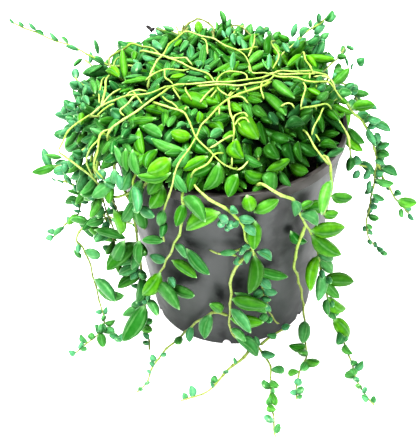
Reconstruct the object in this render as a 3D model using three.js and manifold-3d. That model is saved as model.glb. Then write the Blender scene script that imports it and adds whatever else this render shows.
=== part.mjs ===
// A potted string of watermelons: a trailing succulent with melon-shaped leaves in a black nursery pot.
// Millimetres, +Z up. The origin is the centre of the pot's underside, and the front is towards -Y.
import * as THREE from "three";
import { mergeVertices } from "three/addons/utils/BufferGeometryUtils.js";
import Module from "manifold-3d";

const wasm = await Module();
wasm.setup();

// Pot
const POT_HEIGHT = 126;
const POT_TOP_RADIUS = 65;
const POT_BASE_RADIUS = 48.6;
const BAND_HEIGHT = 7;
const BAND_PROUD = 0.9;
const WALL = 1.4;
const FLOOR = 1.8;
const EDGE = 0.5;
const POT_SIDES = 36;
const NOTCH_COUNT = 6;
const NOTCH_RADIUS = 2.6;
const NOTCH_TURN = -35;

// Potting mix
const MIX_TOP = 114.6;
const MIX_GAP = 0.35;
const MIX_SIDES = 24;
const MIX_ROUGH = 0.9;

// Stems
const STEM_RADIUS = 1.15;
const STEM_SIDES = 3;
const STEM_STEP = 10;
const HOLE_RADIUS = 2.2;
const HOLE_SIDES = 4;
const HOLE_DEPTH = 9;
const SOIL_RING = 57;

// Leaves
const LEAF_FLAT = 0.78;
const LONG_LEAF = 17;
const GAP = 0.4;
const ROOT_SHARE = 0.3;
const TRIES = 9;
const CELL = 14;

// Crown
const CROWN_SIDES = 20;
const CROWN_CENTRE = [-9, 4];
const CROWN_REACH = [64, 60];
const CROWN_DENT = 7;
const CROWN_DENT_TURN = -38;
const CROWN_DENT_SPREAD = 30;
const CROWN_LEAVES = 103;
const CROWN_INNER_LEAVES = 46;
const CROWN_PEGS = 7;
const CROWN_PEG_RING = 34;

// Colours
const POT_BLACK = { color: 0x2b2c2e, roughness: 0.38, metalness: 0 };
const MIX_BROWN = { color: 0x2a211b, roughness: 0.95, metalness: 0 };
const LEAF_GREEN = { color: 0x4fa83a, roughness: 0.42, metalness: 0 };

// Corners closer than this are one corner
const FINE_WELD = 1e-4;
const WELD = 1e-3;

const UP = new THREE.Vector3(0, 0, 1);
const radians = (degrees) => (degrees * Math.PI) / 180;
const vector = (p) => new THREE.Vector3(p[0], p[1], p[2]);
const clamp = (x, low, high) => Math.min(Math.max(x, low), high);

// A repeatable draw from 0 to 1 for a few whole numbers.
function draw(a, b, c = 0) {
  const wave = Math.sin(a * 12.9898 + b * 78.233 + c * 37.719) * 43758.5453;
  return wave - Math.floor(wave);
}

// A point given by turn in degrees round the pot, radius and height.
function polar([turn, radius, height]) {
  const angle = radians(turn);
  return [radius * Math.cos(angle), radius * Math.sin(angle), height];
}

function bodyRadius(height) {
  return POT_BASE_RADIUS + ((POT_TOP_RADIUS - BAND_PROUD - POT_BASE_RADIUS) * height) / POT_HEIGHT;
}

// Solids

// A closed geometry as a solid, with its faces turned outwards.
function solid(geometry, weld = FINE_WELD) {
  const bare = geometry.clone();
  bare.deleteAttribute("normal");
  bare.deleteAttribute("uv");
  const merged = mergeVertices(bare, weld);
  const vertProperties = new Float32Array(merged.attributes.position.array);
  const triVerts = new Uint32Array(merged.index.array);
  const body = new wasm.Manifold(new wasm.Mesh({ numProp: 3, vertProperties, triVerts }));
  if (body.volume() > 0) return body;
  for (let i = 0; i < triVerts.length; i += 3) {
    [triVerts[i + 1], triVerts[i + 2]] = [triVerts[i + 2], triVerts[i + 1]];
  }
  return new wasm.Manifold(new wasm.Mesh({ numProp: 3, vertProperties, triVerts }));
}

function geometryOf(body) {
  const mesh = body.getMesh();
  return new THREE.BufferGeometry()
    .setAttribute("position", new THREE.BufferAttribute(new Float32Array(mesh.vertProperties), 3))
    .setIndex(new THREE.BufferAttribute(new Uint32Array(mesh.triVerts), 1));
}

function largest(body) {
  return body.decompose().reduce((best, part) => (part.volume() > best.volume() ? part : best));
}

// The union of some solids without loose scraps and sealed hollows, nor scraps held on at one corner.
function fused(bodies) {
  const body = largest(wasm.Manifold.union(bodies));
  return largest(solid(geometryOf(body), WELD));
}

function named(name, geometry, finish) {
  const mesh = new THREE.Mesh(geometry, new THREE.MeshStandardMaterial(finish));
  mesh.name = name;
  return mesh;
}

function lathe(profile, sides) {
  return new THREE.LatheGeometry(
    profile.map(([radius, height]) => new THREE.Vector2(radius, height)),
    sides,
  ).rotateX(Math.PI / 2);
}

// Pot and potting mix

function makePot() {
  const bandFoot = POT_HEIGHT - BAND_HEIGHT;
  const inner = (height) => bodyRadius(height) - WALL;
  const profile = [
    [0, 0],
    [POT_BASE_RADIUS - 1, 0],
    [POT_BASE_RADIUS, 1],
    [bodyRadius(bandFoot), bandFoot],
    [POT_TOP_RADIUS - EDGE, bandFoot + EDGE],
    [POT_TOP_RADIUS, POT_HEIGHT - EDGE],
    [POT_TOP_RADIUS - EDGE, POT_HEIGHT],
    [inner(POT_HEIGHT), POT_HEIGHT],
    [inner(FLOOR), FLOOR],
    [0, FLOOR],
  ];
  let body = solid(lathe(profile, POT_SIDES));
  for (let i = 0; i < NOTCH_COUNT; i += 1) {
    const drill = new THREE.CylinderGeometry(NOTCH_RADIUS, NOTCH_RADIUS, 12, 8)
      .rotateX(Math.PI / 2)
      .rotateY(radians(45))
      .translate(POT_BASE_RADIUS + 0.3, 0, 1)
      .rotateZ(radians(NOTCH_TURN + (360 / NOTCH_COUNT) * i));
    body = body.subtract(solid(drill));
  }
  return geometryOf(body);
}

function makeMix(feet) {
  const wall = (height) => bodyRadius(height) - WALL - MIX_GAP;
  const profile = [
    [0, FLOOR + MIX_GAP],
    [wall(FLOOR), FLOOR + MIX_GAP],
    [wall(MIX_TOP - 2), MIX_TOP - 2],
    [38, MIX_TOP - 0.6],
    [18, MIX_TOP],
    [0, MIX_TOP],
  ];
  const geometry = lathe(profile, MIX_SIDES);
  const places = geometry.attributes.position;
  for (let i = 0; i < places.count; i += 1) {
    const [x, y, z] = [places.getX(i), places.getY(i), places.getZ(i)];
    const lump = draw(Math.round(x), Math.round(y)) * MIX_ROUGH;
    if (z > MIX_TOP - 1) places.setZ(i, z - lump);
  }
  const holes = feet.map(([x, y]) =>
    solid(
      new THREE.CylinderGeometry(HOLE_RADIUS, HOLE_RADIUS, HOLE_DEPTH * 2, HOLE_SIDES)
        .rotateX(Math.PI / 2)
        .translate(x, y, MIX_TOP),
    ),
  );
  return geometryOf(solid(geometry).subtract(wasm.Manifold.union(holes)));
}

// Directions on the hanging and lying stems

// Out of, down along and right along the pot's wall, or the same for a stem that lies on the surface.
function wayAt(point) {
  const radial = new THREE.Vector3(point.x, point.y, 0).normalize();
  const rise = clamp((point.z - 4) / 12, 0, 1);
  const hang = rise * rise * (3 - 2 * rise);
  const out = radial.clone().multiplyScalar(hang).addScaledVector(UP, 1 - hang).normalize();
  const down = radial.clone().multiplyScalar(1 - hang).addScaledVector(UP, -hang).normalize();
  const right = new THREE.Vector3(-radial.y, radial.x, 0);
  return { out, down, right };
}

// Bearings are clockwise from up as seen from outside, and lift is the angle away from the wall.
function pointing(point, bearing, lift) {
  const { out, down, right } = wayAt(point);
  const [turn, tilt] = [radians(bearing), radians(lift)];
  return new THREE.Vector3()
    .addScaledVector(down, -Math.cos(tilt) * Math.cos(turn))
    .addScaledVector(right, Math.cos(tilt) * Math.sin(turn))
    .addScaledVector(out, Math.sin(tilt));
}

// Curves

function curveOf(points) {
  return new THREE.CatmullRomCurve3(points.map(vector));
}

// Points about a millimetre apart along a curve, each with its distance and travel direction.
function walk(points) {
  const curve = curveOf(points);
  const pieces = (points.length - 1) * 16;
  const places = [];
  let distance = 0;
  for (let i = 0; i <= pieces; i += 1) {
    const point = curve.getPoint(i / pieces);
    if (i > 0) distance += point.distanceTo(places[i - 1].point);
    places.push({ point, distance });
  }
  places.forEach((place, i) => {
    const next = places[Math.min(i + 1, pieces)].point;
    const last = places[Math.max(i - 1, 0)].point;
    place.travel = next.clone().sub(last).normalize();
  });
  return places;
}

function stemSolid(points) {
  const curve = curveOf(points);
  const corners = Array.from({ length: STEM_SIDES }, (_, i) => {
    const turn = (i / STEM_SIDES) * 2 * Math.PI;
    return new THREE.Vector2(STEM_RADIUS * Math.cos(turn), STEM_RADIUS * Math.sin(turn));
  });
  const steps = Math.max(2, Math.round(curve.getLength() / STEM_STEP));
  return solid(
    new THREE.ExtrudeGeometry(new THREE.Shape(corners), {
      steps,
      bevelEnabled: false,
      extrudePath: curve,
    }),
  );
}

// Balls that stand for what is already placed, kept in cells

class Room {
  constructor() {
    this.cells = new Map();
  }

  key(x, y, z) {
    return `${Math.floor(x / CELL)},${Math.floor(y / CELL)},${Math.floor(z / CELL)}`;
  }

  add(owner, point, radius) {
    const key = this.key(point.x, point.y, point.z);
    if (!this.cells.has(key)) this.cells.set(key, []);
    this.cells.get(key).push({ owner, point: point.clone(), radius });
  }

  // Whether a ball is clear of other owners, and not sunk deep into its own owner.
  allows(owner, point, radius, own) {
    for (let i = -1; i <= 1; i += 1) {
      for (let j = -1; j <= 1; j += 1) {
        for (let k = -1; k <= 1; k += 1) {
          const key = this.key(point.x + i * CELL, point.y + j * CELL, point.z + k * CELL);
          for (const ball of this.cells.get(key) ?? []) {
            const reach = ball.radius + radius;
            const need = ball.owner === owner ? own * reach : reach + GAP;
            if (ball.point.distanceTo(point) < need) return false;
          }
        }
      }
    }
    return true;
  }
}

const room = new Room();

// The distance from a point to the middle of the pot's wall or band, less half its thickness.
function wallDistance(point) {
  const radius = Math.hypot(point.x, point.y);
  const line = (r1, z1, r2, z2, half) => {
    const share = clamp(
      ((radius - r1) * (r2 - r1) + (point.z - z1) * (z2 - z1)) / ((r2 - r1) ** 2 + (z2 - z1) ** 2),
      0,
      1,
    );
    return Math.hypot(radius - r1 - share * (r2 - r1), point.z - z1 - share * (z2 - z1)) - half;
  };
  const bandMiddle = (POT_TOP_RADIUS + bodyRadius(POT_HEIGHT) - WALL) / 2;
  const bandHalf = POT_TOP_RADIUS - bandMiddle;
  return Math.min(
    line(POT_BASE_RADIUS - WALL / 2, 0, bodyRadius(POT_HEIGHT) - WALL / 2, POT_HEIGHT, WALL / 2),
    line(bandMiddle, POT_HEIGHT - BAND_HEIGHT + bandHalf, bandMiddle, POT_HEIGHT - bandHalf, bandHalf),
  );
}

function clearOfPot(point, radius) {
  if (wallDistance(point) < radius + GAP) return false;
  if (point.z < radius + 0.1) return false;
  const inside = Math.hypot(point.x, point.y) < bodyRadius(point.z) && point.z < POT_HEIGHT;
  return !inside || point.z > MIX_TOP + radius + GAP;
}

// Leaves

const leafWidth = (length) => 2.2 + 0.3 * length;

function leafBalls(leaf) {
  return [0.18, 0.36, 0.54, 0.72, 0.9].map((share) => ({
    point: leaf.root.clone().addScaledVector(leaf.way, leaf.length * share),
    radius: (leafWidth(leaf.length) / 2) * (1 - (2 * share - 1) ** 2) ** 0.6,
    share,
  }));
}

function fits(owner, leaf, own) {
  return leafBalls(leaf).every(
    ({ point, radius, share }) =>
      clearOfPot(point, radius) && room.allows(owner, point, radius, share > ROOT_SHARE ? own : 0),
  );
}

function keep(owner, leaf) {
  leafBalls(leaf).forEach(({ point, radius }) => room.add(owner, point, radius));
}

// A four-sided spindle whose root lies on the middle of the stem.
function leafSolid(leaf) {
  const rings = leaf.length > LONG_LEAF ? [0.28, 0.64] : [0.5];
  const profile = [[0, 0], ...rings.map((share) => [1, share]), [0, 1]];
  const half = leafWidth(leaf.length) / 2;
  const across = new THREE.Vector3().crossVectors(leaf.way, leaf.face).normalize();
  const face = new THREE.Vector3().crossVectors(across, leaf.way);
  const place = new THREE.Matrix4().makeBasis(
    across.multiplyScalar(half),
    face.multiplyScalar(half * LEAF_FLAT),
    leaf.way.clone().multiplyScalar(leaf.length),
  );
  return solid(lathe(profile, 4).applyMatrix4(place.setPosition(leaf.root)));
}

// Tries a few turns, lifts and lengths of a leaf, and keeps the first that has room.
function settle(owner, root, aim, length, own) {
  for (let i = 0; i < TRIES; i += 1) {
    const side = i % 2 ? 1 : -1;
    const swing = side * Math.ceil(i / 2) * 13;
    const leaf = { root, ...aim(swing, i * 4), length: length * (1 - 0.035 * i) };
    if (fits(owner, leaf, own)) {
      keep(owner, leaf);
      return leaf;
    }
  }
  return null;
}

// Trailing stems

// From the potting mix up along the inside of the wall and over the rim.
const rise = (turn, crossing = turn) => [
  [turn, SOIL_RING, MIX_TOP - HOLE_DEPTH + 1],
  [turn, SOIL_RING + 0.3, MIX_TOP + 2],
  [turn, SOIL_RING + 1.7, POT_HEIGHT - 1],
  [crossing, POT_TOP_RADIUS - 2.5, POT_HEIGHT + 4],
];

// Routes are [turn, radius, height]. Leaves are [distance along, bearing, lift, length]. A branch
// starts inside the stem that it leaves. Growth is [from, every, first length, last length].
const STEMS = {
  stem_right: [
    {
      route: [
        ...rise(12), [11, 66, 130], [10, 71, 122], [9, 77, 116], [8, 83, 103], [8, 87, 89], [8, 87, 76],
        [8, 86, 59], [8, 85, 39], [8, 88, 27], [7, 96, 18],
      ],
      leaves: [
        [72, 300, 30, 9], [82, 300, 25, 7], [87, 315, 35, 12], [90, 285, 55, 13], [87, 70, -40, 13],
        [86, 140, -60, 18], [95, 170, -25, 8], [100, 270, 25, 7], [117, 280, 40, 8], [128, 145, -20, 5],
        [138, 200, 0, 4], [146, 290, 20, 6],
      ],
      growth: [34, 6, 13, 9, 84],
    },
    {
      route: [[8, 87, 88], [7, 93, 74], [7, 104, 55], [6, 111, 47]],
      leaves: [
        [16, 290, 25, 8], [23, 75, -10, 7], [29, 315, 25, 6], [36, 195, -10, 8], [37, 295, 25, 6],
        [44, 120, 20, 7], [46, 230, 20, 6],
      ],
    },
  ],
  stem_right_upper: [
    {
      route: [...rise(22), [22, 66, 134], [21, 72, 132], [20, 76, 126], [18, 81, 117], [17, 84, 108]],
      growth: [30, 6, 14, 8],
    },
  ],
  stem_right_front: [
    {
      route: [
        ...rise(-37, -39), [-42, 69, 129], [-43, 71, 120], [-42, 70.5, 112], [-43, 70, 106], [-46, 69, 99],
      ],
      leaves: [[41, 255, 15, 23], [52, 110, 20, 13], [63, 105, 10, 9], [62, 305, -35, 15]],
    },
  ],
  stem_front_right: [
    {
      route: [
        ...rise(-78, -76), [-74, 71, 132], [-68, 71, 126], [-62, 70, 118], [-59, 69, 108], [-51, 66.5, 90],
        [-43, 65, 69], [-42, 67, 55], [-40, 69.5, 40], [-39, 72, 27], [-37, 75, 13], [-40, 86, 3],
        [-45, 96, 2], [-50, 109, 2], [-52, 125, 2],
      ],
      leaves: [
        [51, 180, 15, 9], [61, 80, 0, 9], [64, 135, 25, 12], [85, 95, 35, 20], [89, 140, 30, 21],
        [107, 320, 0, 18], [107, 140, 30, 14], [112, 245, 5, 23], [115, 155, 20, 14], [131, 110, 15, 20],
        [124, 200, 5, 18], [132, 160, 20, 15], [144, 145, 20, 18], [145, 190, 10, 12], [146, 255, 10, 11],
        [163, 160, 35, 19], [158, 175, 15, 13], [172, 245, 0, 10], [177, 240, 0, 11], [181, 210, 0, 10],
        [200, 95, 10, 8], [197, 245, 5, 10], [205, 305, 5, 7], [211, 210, 5, 6], [226, 55, 10, 4],
      ],
    },
    {
      route: [
        [-55, 67.8, 98], [-57, 65.5, 85], [-57, 62.5, 67], [-52, 60, 52], [-46, 58, 32], [-42, 56.5, 16],
        [-44, 60, 5], [-52, 69, 2], [-56, 75, 2], [-64, 83, 2], [-70, 99, 2],
      ],
      leaves: [
        [92, 235, 15, 16], [108, 280, 5, 12], [94, 265, 5, 15], [112, 255, 5, 12], [121, 240, 5, 11],
        [129, 255, 10, 9], [121, 175, 10, 13], [123, 195, 5, 15], [120, 165, 10, 15], [143, 250, 15, 6],
        [148, 160, 20, 4],
      ],
    },
  ],
  stem_front_centre: [
    {
      route: [
        ...rise(-108, -106), [-103, 70, 133], [-93, 69, 122], [-88, 68, 116], [-85, 67, 108],
        [-83, 65.5, 97], [-80, 64, 87], [-77, 61, 67], [-73, 59, 49], [-70, 56, 29], [-67, 55, 21],
      ],
      leaves: [
        [62, 70, 25, 9], [70, 120, 20, 7], [64, 50, 5, 13], [67, 65, 5, 20], [88, 10, 5, 18],
        [93, 125, 20, 10], [86, 280, 20, 18], [85, 275, 20, 6], [89, 235, 20, 8], [92, 190, 10, 24],
        [111, 80, 25, 15], [116, 70, 20, 6], [126, 95, 20, 8], [140, 105, 20, 5], [63, 250, 20, 5],
        [58, 355, 10, 5],
      ],
    },
    {
      route: [
        [-80.5, 64.3, 89], [-87, 65, 80], [-90, 64, 72], [-91, 61, 50], [-92, 58, 27], [-90, 57, 17],
        [-77, 57, 7], [-73, 68, 2], [-75, 80, 2], [-78, 94, 2], [-79, 108, 2], [-80, 120, 2],
      ],
      leaves: [
        [31, 85, 20, 14], [40, 95, 20, 21], [41, 145, 15, 15], [50, 75, 25, 23], [58, 80, 25, 21],
        [53, 120, 15, 12], [77, 135, 10, 19], [69, 95, 25, 13], [97, 150, 10, 12], [102, 175, 5, 12],
        [111, 160, 10, 11], [119, 170, 10, 10], [128, 165, 10, 11], [136, 185, 10, 9], [140, 210, 10, 6],
        [156, 45, 15, 6], [95, 350, 20, 7],
      ],
    },
    {
      route: [
        [-92, 59, 36], [-100, 57.5, 36], [-110, 56, 26], [-118, 54.5, 15], [-126, 53.5, 3], [-127, 59, 2],
        [-127, 72, 2], [-126, 79, 2], [-123, 94, 2], [-123, 102, 2],
      ],
      leaves: [
        [5, 335, 5, 13], [8, 25, 5, 7], [11, 190, 25, 15], [32, 175, 20, 10], [50, 150, 5, 10],
        [57, 130, 5, 10], [67, 150, 10, 5], [74, 285, 20, 5], [76, 215, 20, 4], [82, 165, 10, 5],
        [81, 120, 5, 8], [90, 125, 10, 4], [96, 175, 20, 4],
      ],
    },
    {
      route: [
        [-80, 57, 7], [-82, 58, 3], [-87, 63, 2], [-94, 71, 2], [-99, 84, 2], [-104, 91, 2], [-109, 97, 2],
      ],
      leaves: [
        [14, 270, 20, 4], [23, 190, 10, 4], [33, 335, 20, 5], [35, 250, 20, 4], [51, 340, 20, 7],
        [55, 335, 20, 4],
      ],
    },
    {
      route: [[-75, 57.5, 7], [-62, 54, 8], [-54, 53, 8], [-49, 53, 6]],
      leaves: [[13, 260, 15, 8], [17, 75, 20, 6]],
    },
  ],
  stem_front_left: [
    {
      route: [
        ...rise(-114, -111), [-109.5, 69.5, 127], [-109, 69.5, 120], [-111, 68, 109], [-114, 66, 98],
        [-122, 64, 77], [-128, 62, 64], [-134, 63, 48], [-137, 66, 38], [-139, 68, 30], [-140, 69.5, 20],
        [-142, 73, 8],
      ],
      leaves: [
        [34, 80, 15, 21], [38, 180, 5, 13], [89, 95, 5, 21], [118, 95, 5, 24], [133, 75, 0, 19],
        [106, 205, 25, 19], [136, 175, 30, 26], [91, 265, 0, 11], [114, 130, 5, 7], [117, 90, 0, 9],
        [73, 110, 15, 10], [74, 100, 10, 26],
      ],
    },
  ],
  stem_left_front: [
    {
      route: [
        ...rise(-150, -149), [-147, 70, 127], [-144, 70, 118], [-143, 67, 108], [-143, 65, 97],
        [-144, 64, 81], [-143, 64, 57], [-144, 64, 37], [-146, 63, 10], [-146, 64, 3], [-139, 67.5, 2],
        [-133, 73, 2],
      ],
      leaves: [
        [62, 105, 15, 20], [88, 85, 0, 16], [88, 195, 45, 24], [103, 225, 50, 16], [112, 220, 55, 16],
        [89, 170, 5, 16], [115, 30, 0, 13], [113, 175, 15, 18], [144, 270, 55, 14], [135, 235, 55, 9],
        [70, 190, 30, 13], [86, 205, 40, 11], [157, 100, 5, 11], [171, 130, 5, 6], [125, 90, 5, 6],
      ],
      growth: [36, 8, 17, 10, 130],
    },
  ],
  stem_left: [
    {
      route: [
        ...rise(-168), [-167.5, 71, 128], [-167, 76, 115], [-166.5, 78, 95], [-166, 80, 75], [-167, 87, 69],
        [-167, 91.5, 61], [-167, 88.5, 55], [-167, 86, 41], [-166, 85, 25], [-163, 84, 12], [-156, 86, 3],
        [-153, 96, 2], [-150, 109, 2],
      ],
      leaves: [
        [109, 125, -5, 6], [116, 75, -55, 13], [139, 100, -45, 23], [147, 80, -55, 20], [163, 355, 0, 5],
        [169, 15, 0, 7], [175, 85, 50, 9], [174, 0, 10, 14], [175, 60, 0, 10], [176, 75, 0, 15],
        [95, 130, -60, 20], [186, 250, 20, 7], [190, 120, 20, 6], [196, 200, 20, 5],
      ],
      growth: [36, 8, 16, 12, 92],
    },
    {
      route: [[-157, 86, 3.5], [-150, 81, 2], [-146, 80, 2]],
      leaves: [[8, 120, 25, 8], [13, 60, 30, 9], [15, 200, 20, 8], [16, 150, 30, 7]],
    },
  ],
  stem_left_outer: [
    {
      route: [
        ...rise(-175), [-174.5, 72, 128], [-174, 79, 116], [-173.5, 83.5, 102], [-173.5, 84.5, 86],
        [-174, 89, 71], [-174, 97, 64], [-175, 108, 52],
      ],
      leaves: [[97, 145, -45, 16]],
      growth: [38, 7, 16, 5],
    },
    {
      route: [[-173.5, 84.5, 90], [-174, 92, 95], [-174, 98, 97]],
      growth: [6, 4, 8, 5],
    },
    {
      route: [[-173.6, 82.5, 105], [-174, 93, 108], [-174, 101, 104]],
      leaves: [[17, 290, 25, 15]],
      growth: [7, 4, 7, 5],
    },
  ],
  stem_left_inner: [
    {
      route: [
        ...rise(-159), [-159, 73, 124], [-157, 77, 108], [-157, 76, 90], [-158, 72, 66], [-158, 70, 50],
      ],
      growth: [36, 6, 17, 10],
    },
  ],
  stem_left_short: [
    {
      route: [...rise(-134), [-134, 70, 126], [-133, 70, 114], [-132, 68, 102], [-133, 67, 92]],
      growth: [36, 7, 17, 9],
    },
  ],
};

// Stems round the hidden sides: [turn in the mix, how far they swing, reach past the rim, lowest point].
const BACK_STEMS = [
  [177, 3, 18, 50],
  [167, -3, 21, 36],
  [155, -2, 18, 62],
  [141, 3, 13, 30],
  [125, 4, 11, -46],
  [109, 3, 8, 64],
  [93, 4, 9, -58],
  [76, 4, 8, 50],
  [59, 5, 8, -40],
  [40, -3, 8, 66],
];

// A hanging route, which goes on along the surface for the given length when its last value is below 0.
function backRoute([turn, swing, reach, lowest], index) {
  const out = POT_TOP_RADIUS + reach;
  const foot = lowest < 0 ? 16 : lowest;
  const route = [...rise(turn), [turn + swing * 0.3, out - reach * 0.3, POT_HEIGHT + 1]];
  const falls = 4;
  for (let i = 0; i <= falls; i += 1) {
    const share = i / falls;
    const height = POT_HEIGHT - 9 - (POT_HEIGHT - 9 - foot) * share;
    const sway = (draw(index, i, 5) - 0.5) * 3;
    const lean = Math.max(out - share * 0.55 * reach, bodyRadius(height) + 6);
    route.push([turn + swing * (0.4 + share) + sway, lean - share * 4, height]);
  }
  if (lowest < 0) {
    const [lastTurn, lastRadius] = route[route.length - 1];
    const steps = 4;
    route.push([lastTurn + 1, lastRadius + 4, 5]);
    for (let i = 1; i <= steps; i += 1) {
      const bend = (draw(index, i, 9) - 0.5) * 5;
      route.push([lastTurn + 1 + swing * i * 0.7 + bend, lastRadius + 4 - (lowest * i) / steps, 2]);
    }
  }
  return route;
}

BACK_STEMS.forEach((spec, index) => {
  STEMS[`stem_back_${index + 1}`] = [{ route: backRoute(spec, index), growth: [36, 9.5, 17, 6] }];
});

// Crown

// Levels of the core: height, radius inside the pot, and share of the crown's own reach above it.
const CORE_LEVELS = [
  { height: MIX_TOP + 0.7, plug: 42, share: 0 },
  { height: MIX_TOP + 5, plug: 50, share: 0 },
  { height: POT_HEIGHT + 5, plug: 51, share: 0 },
  { height: POT_HEIGHT + 9, plug: 0, share: 0.9 },
  { height: POT_HEIGHT + 13, plug: 0, share: 1 },
  { height: POT_HEIGHT + 19, plug: 0, share: 0.82 },
  { height: POT_HEIGHT + 23, plug: 0, share: 0.45 },
  { height: POT_HEIGHT + 25, plug: 0, share: 0 },
];

function crownReach(turn) {
  const [c, s] = [Math.cos(radians(turn)), Math.sin(radians(turn))];
  const away = ((((turn - CROWN_DENT_TURN) % 360) + 540) % 360) - 180;
  const dent = CROWN_DENT * Math.exp(-((away / CROWN_DENT_SPREAD) ** 2));
  return 1 / Math.hypot(c / CROWN_REACH[0], s / CROWN_REACH[1]) - dent;
}

// A point of the core's skin at a level that need not be whole.
function corePoint(turn, level) {
  const low = CORE_LEVELS[Math.min(Math.floor(level), CORE_LEVELS.length - 2)];
  const high = CORE_LEVELS[Math.min(Math.floor(level), CORE_LEVELS.length - 2) + 1];
  const mix = level - CORE_LEVELS.indexOf(low);
  const at = ({ height, plug, share }) => {
    const above = height > POT_HEIGHT + 6 ? 1 : 0;
    const radius = above ? share * crownReach(turn) : plug;
    return new THREE.Vector3(
      CROWN_CENTRE[0] * above + radius * Math.cos(radians(turn)),
      CROWN_CENTRE[1] * above + radius * Math.sin(radians(turn)),
      height,
    );
  };
  return at(low).lerp(at(high), mix);
}

function makeCore() {
  const profile = [[0, 0], ...CORE_LEVELS.map((_, i) => [1, i]), [0, CORE_LEVELS.length]];
  const geometry = lathe(profile, CROWN_SIDES);
  const places = geometry.attributes.position;
  const perTurn = profile.length;
  for (let i = 0; i < places.count; i += 1) {
    const level = i % perTurn;
    const side = Math.floor(i / perTurn) % CROWN_SIDES;
    const turn = (-360 * side) / CROWN_SIDES;
    const inner = clamp(level - 1, 0, CORE_LEVELS.length - 1);
    const point = corePoint(turn, inner);
    if (level === 0) point.set(0, 0, CORE_LEVELS[0].height);
    const lump = inner > 3 && inner < CORE_LEVELS.length - 1 ? (draw(side, level, 3) - 0.5) * 3 : 0;
    places.setXYZ(i, point.x, point.y, point.z + lump);
  }
  return solid(geometry);
}

// Runners over the crown and the sprigs that stand out of it, as [x, y, z].
const RUNNERS = [
  {
    route: [
      [-60, -30, 133], [-65, -33, 143], [-49, -31, 151], [-39, -27, 154], [-18, -16, 158],
      [8, -14, 158], [22, -4, 156], [39, 8, 152], [53, 13, 144], [46, 12, 136],
    ],
  },
  {
    route: [
      [-42, 0, 147], [-42, 2, 158], [-35, 16, 160], [-25, 36, 157], [-8, 35, 159], [2, 22, 161],
      [10, 10, 160], [14, 6, 148],
    ],
  },
  {
    route: [
      [-55, 18, 142], [-65, 20, 151], [-62, 29, 152], [-52, 36, 153], [-43, 24, 157],
      [-31, 10, 160], [-17, -2, 161], [-12, -5, 149],
    ],
  },
  {
    route: [
      [-60, -12, 138], [-72, -19, 145], [-66, -16, 151], [-50, -15, 155], [-38, -18, 157],
      [-32, -16, 147],
    ],
  },
  {
    route: [
      [20, -2, 148], [22, -6, 155], [1, -24, 156], [-15, -43, 151], [-25, -60, 144],
      [-28, -65, 133], [-33.5, -60.5, 114], [-35.5, -56.8, 100], [-35, -55.8, 89],
    ],
    leaves: [[115, 205, 15, 11], [125, 115, 35, 11]],
  },
  {
    route: [
      [0, -25, 148], [0, -31, 156], [5, -42, 152], [3, -50, 146], [1, -57, 139], [0, -50, 134],
    ],
  },
  {
    route: [
      [-34, -20, 147], [-37, -25, 156], [-22, -34, 156], [-17, -47, 150], [-10, -54, 146],
      [-2, -59, 141], [3, -58, 137], [3, -46, 133],
    ],
  },
  {
    route: [
      [18, 0, 148], [23, -2, 157], [39, 4, 154], [53, 10, 147], [58, 3, 141], [46, 2, 137],
    ],
  },
  { route: [[-58, -30, 137], [-64, -35, 144], [-66, -41, 138], [-68, -44, 131], [-64, -46, 124]] },
  {
    route: [
      [-43, 24, 145], [-54, 22, 150], [-65, 20, 152], [-73, 20, 158], [-81, 20, 163],
      [-89, 20, 167], [-96, 20, 170], [-103, 20, 174], [-114, 20, 180],
    ],
    growth: [24, 5.5, 9, 6],
  },
  {
    route: [
      [20, 18, 147], [28, 24, 150], [35, 30, 154], [43, 30, 162], [49, 30, 167], [55, 30, 172],
    ],
    growth: [18, 3.5, 9, 6],
  },
  { route: [[44, 20, 138], [54, 26, 141], [62, 31, 146], [66, 33, 152]], growth: [10, 4, 9, 6] },
  { route: [[-60, 24, 138], [-72, 30, 143], [-80, 34, 148]], growth: [10, 4.5, 10, 7] },
];

const CROWN = "leafy_crown";

// Leaves scattered evenly over the core, rooted in it and lying low and outwards.
function crownLeaf(index) {
  const share = (index + 0.5) / CROWN_LEAVES;
  const turn = index * 137.508 + (draw(index, 1) - 0.5) * 10;
  const level = share < 0.68 ? 7 - 2.9 * Math.sqrt(share / 0.68) : 4.1 - ((share - 0.68) / 0.32) * 1.3;
  const skin = corePoint(turn, level);
  const [c, s] = [Math.cos(radians(turn)), Math.sin(radians(turn))];
  const slope = level > 4.1 ? 14 + (7 - level) * 17 : 75 + (4.1 - level) * 22;
  const [flat, steep] = [Math.cos(radians(slope)), Math.sin(radians(slope))];
  const normal = new THREE.Vector3(c * steep, s * steep, flat);
  const downhill = new THREE.Vector3(c * flat, s * flat, -steep);
  const across = new THREE.Vector3(-s, c, 0);
  const spread = level > 4.1 ? 360 : 130;
  const heading = (draw(index, 2) - 0.5) * spread;
  const height = 12 + 26 * draw(index, 3);
  const aim = (swing, lift) => {
    const [turnTo, tilt] = [radians(heading + swing), radians(height + lift)];
    const way = new THREE.Vector3()
      .addScaledVector(downhill, Math.cos(tilt) * Math.cos(turnTo))
      .addScaledVector(across, Math.cos(tilt) * Math.sin(turnTo))
      .addScaledVector(normal, Math.sin(tilt));
    return { way, face: normal };
  };
  const root = skin.clone().addScaledVector(normal, -2);
  return settle(CROWN, root, aim, 15 + 7 * draw(index, 4), 0.75);
}

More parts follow.
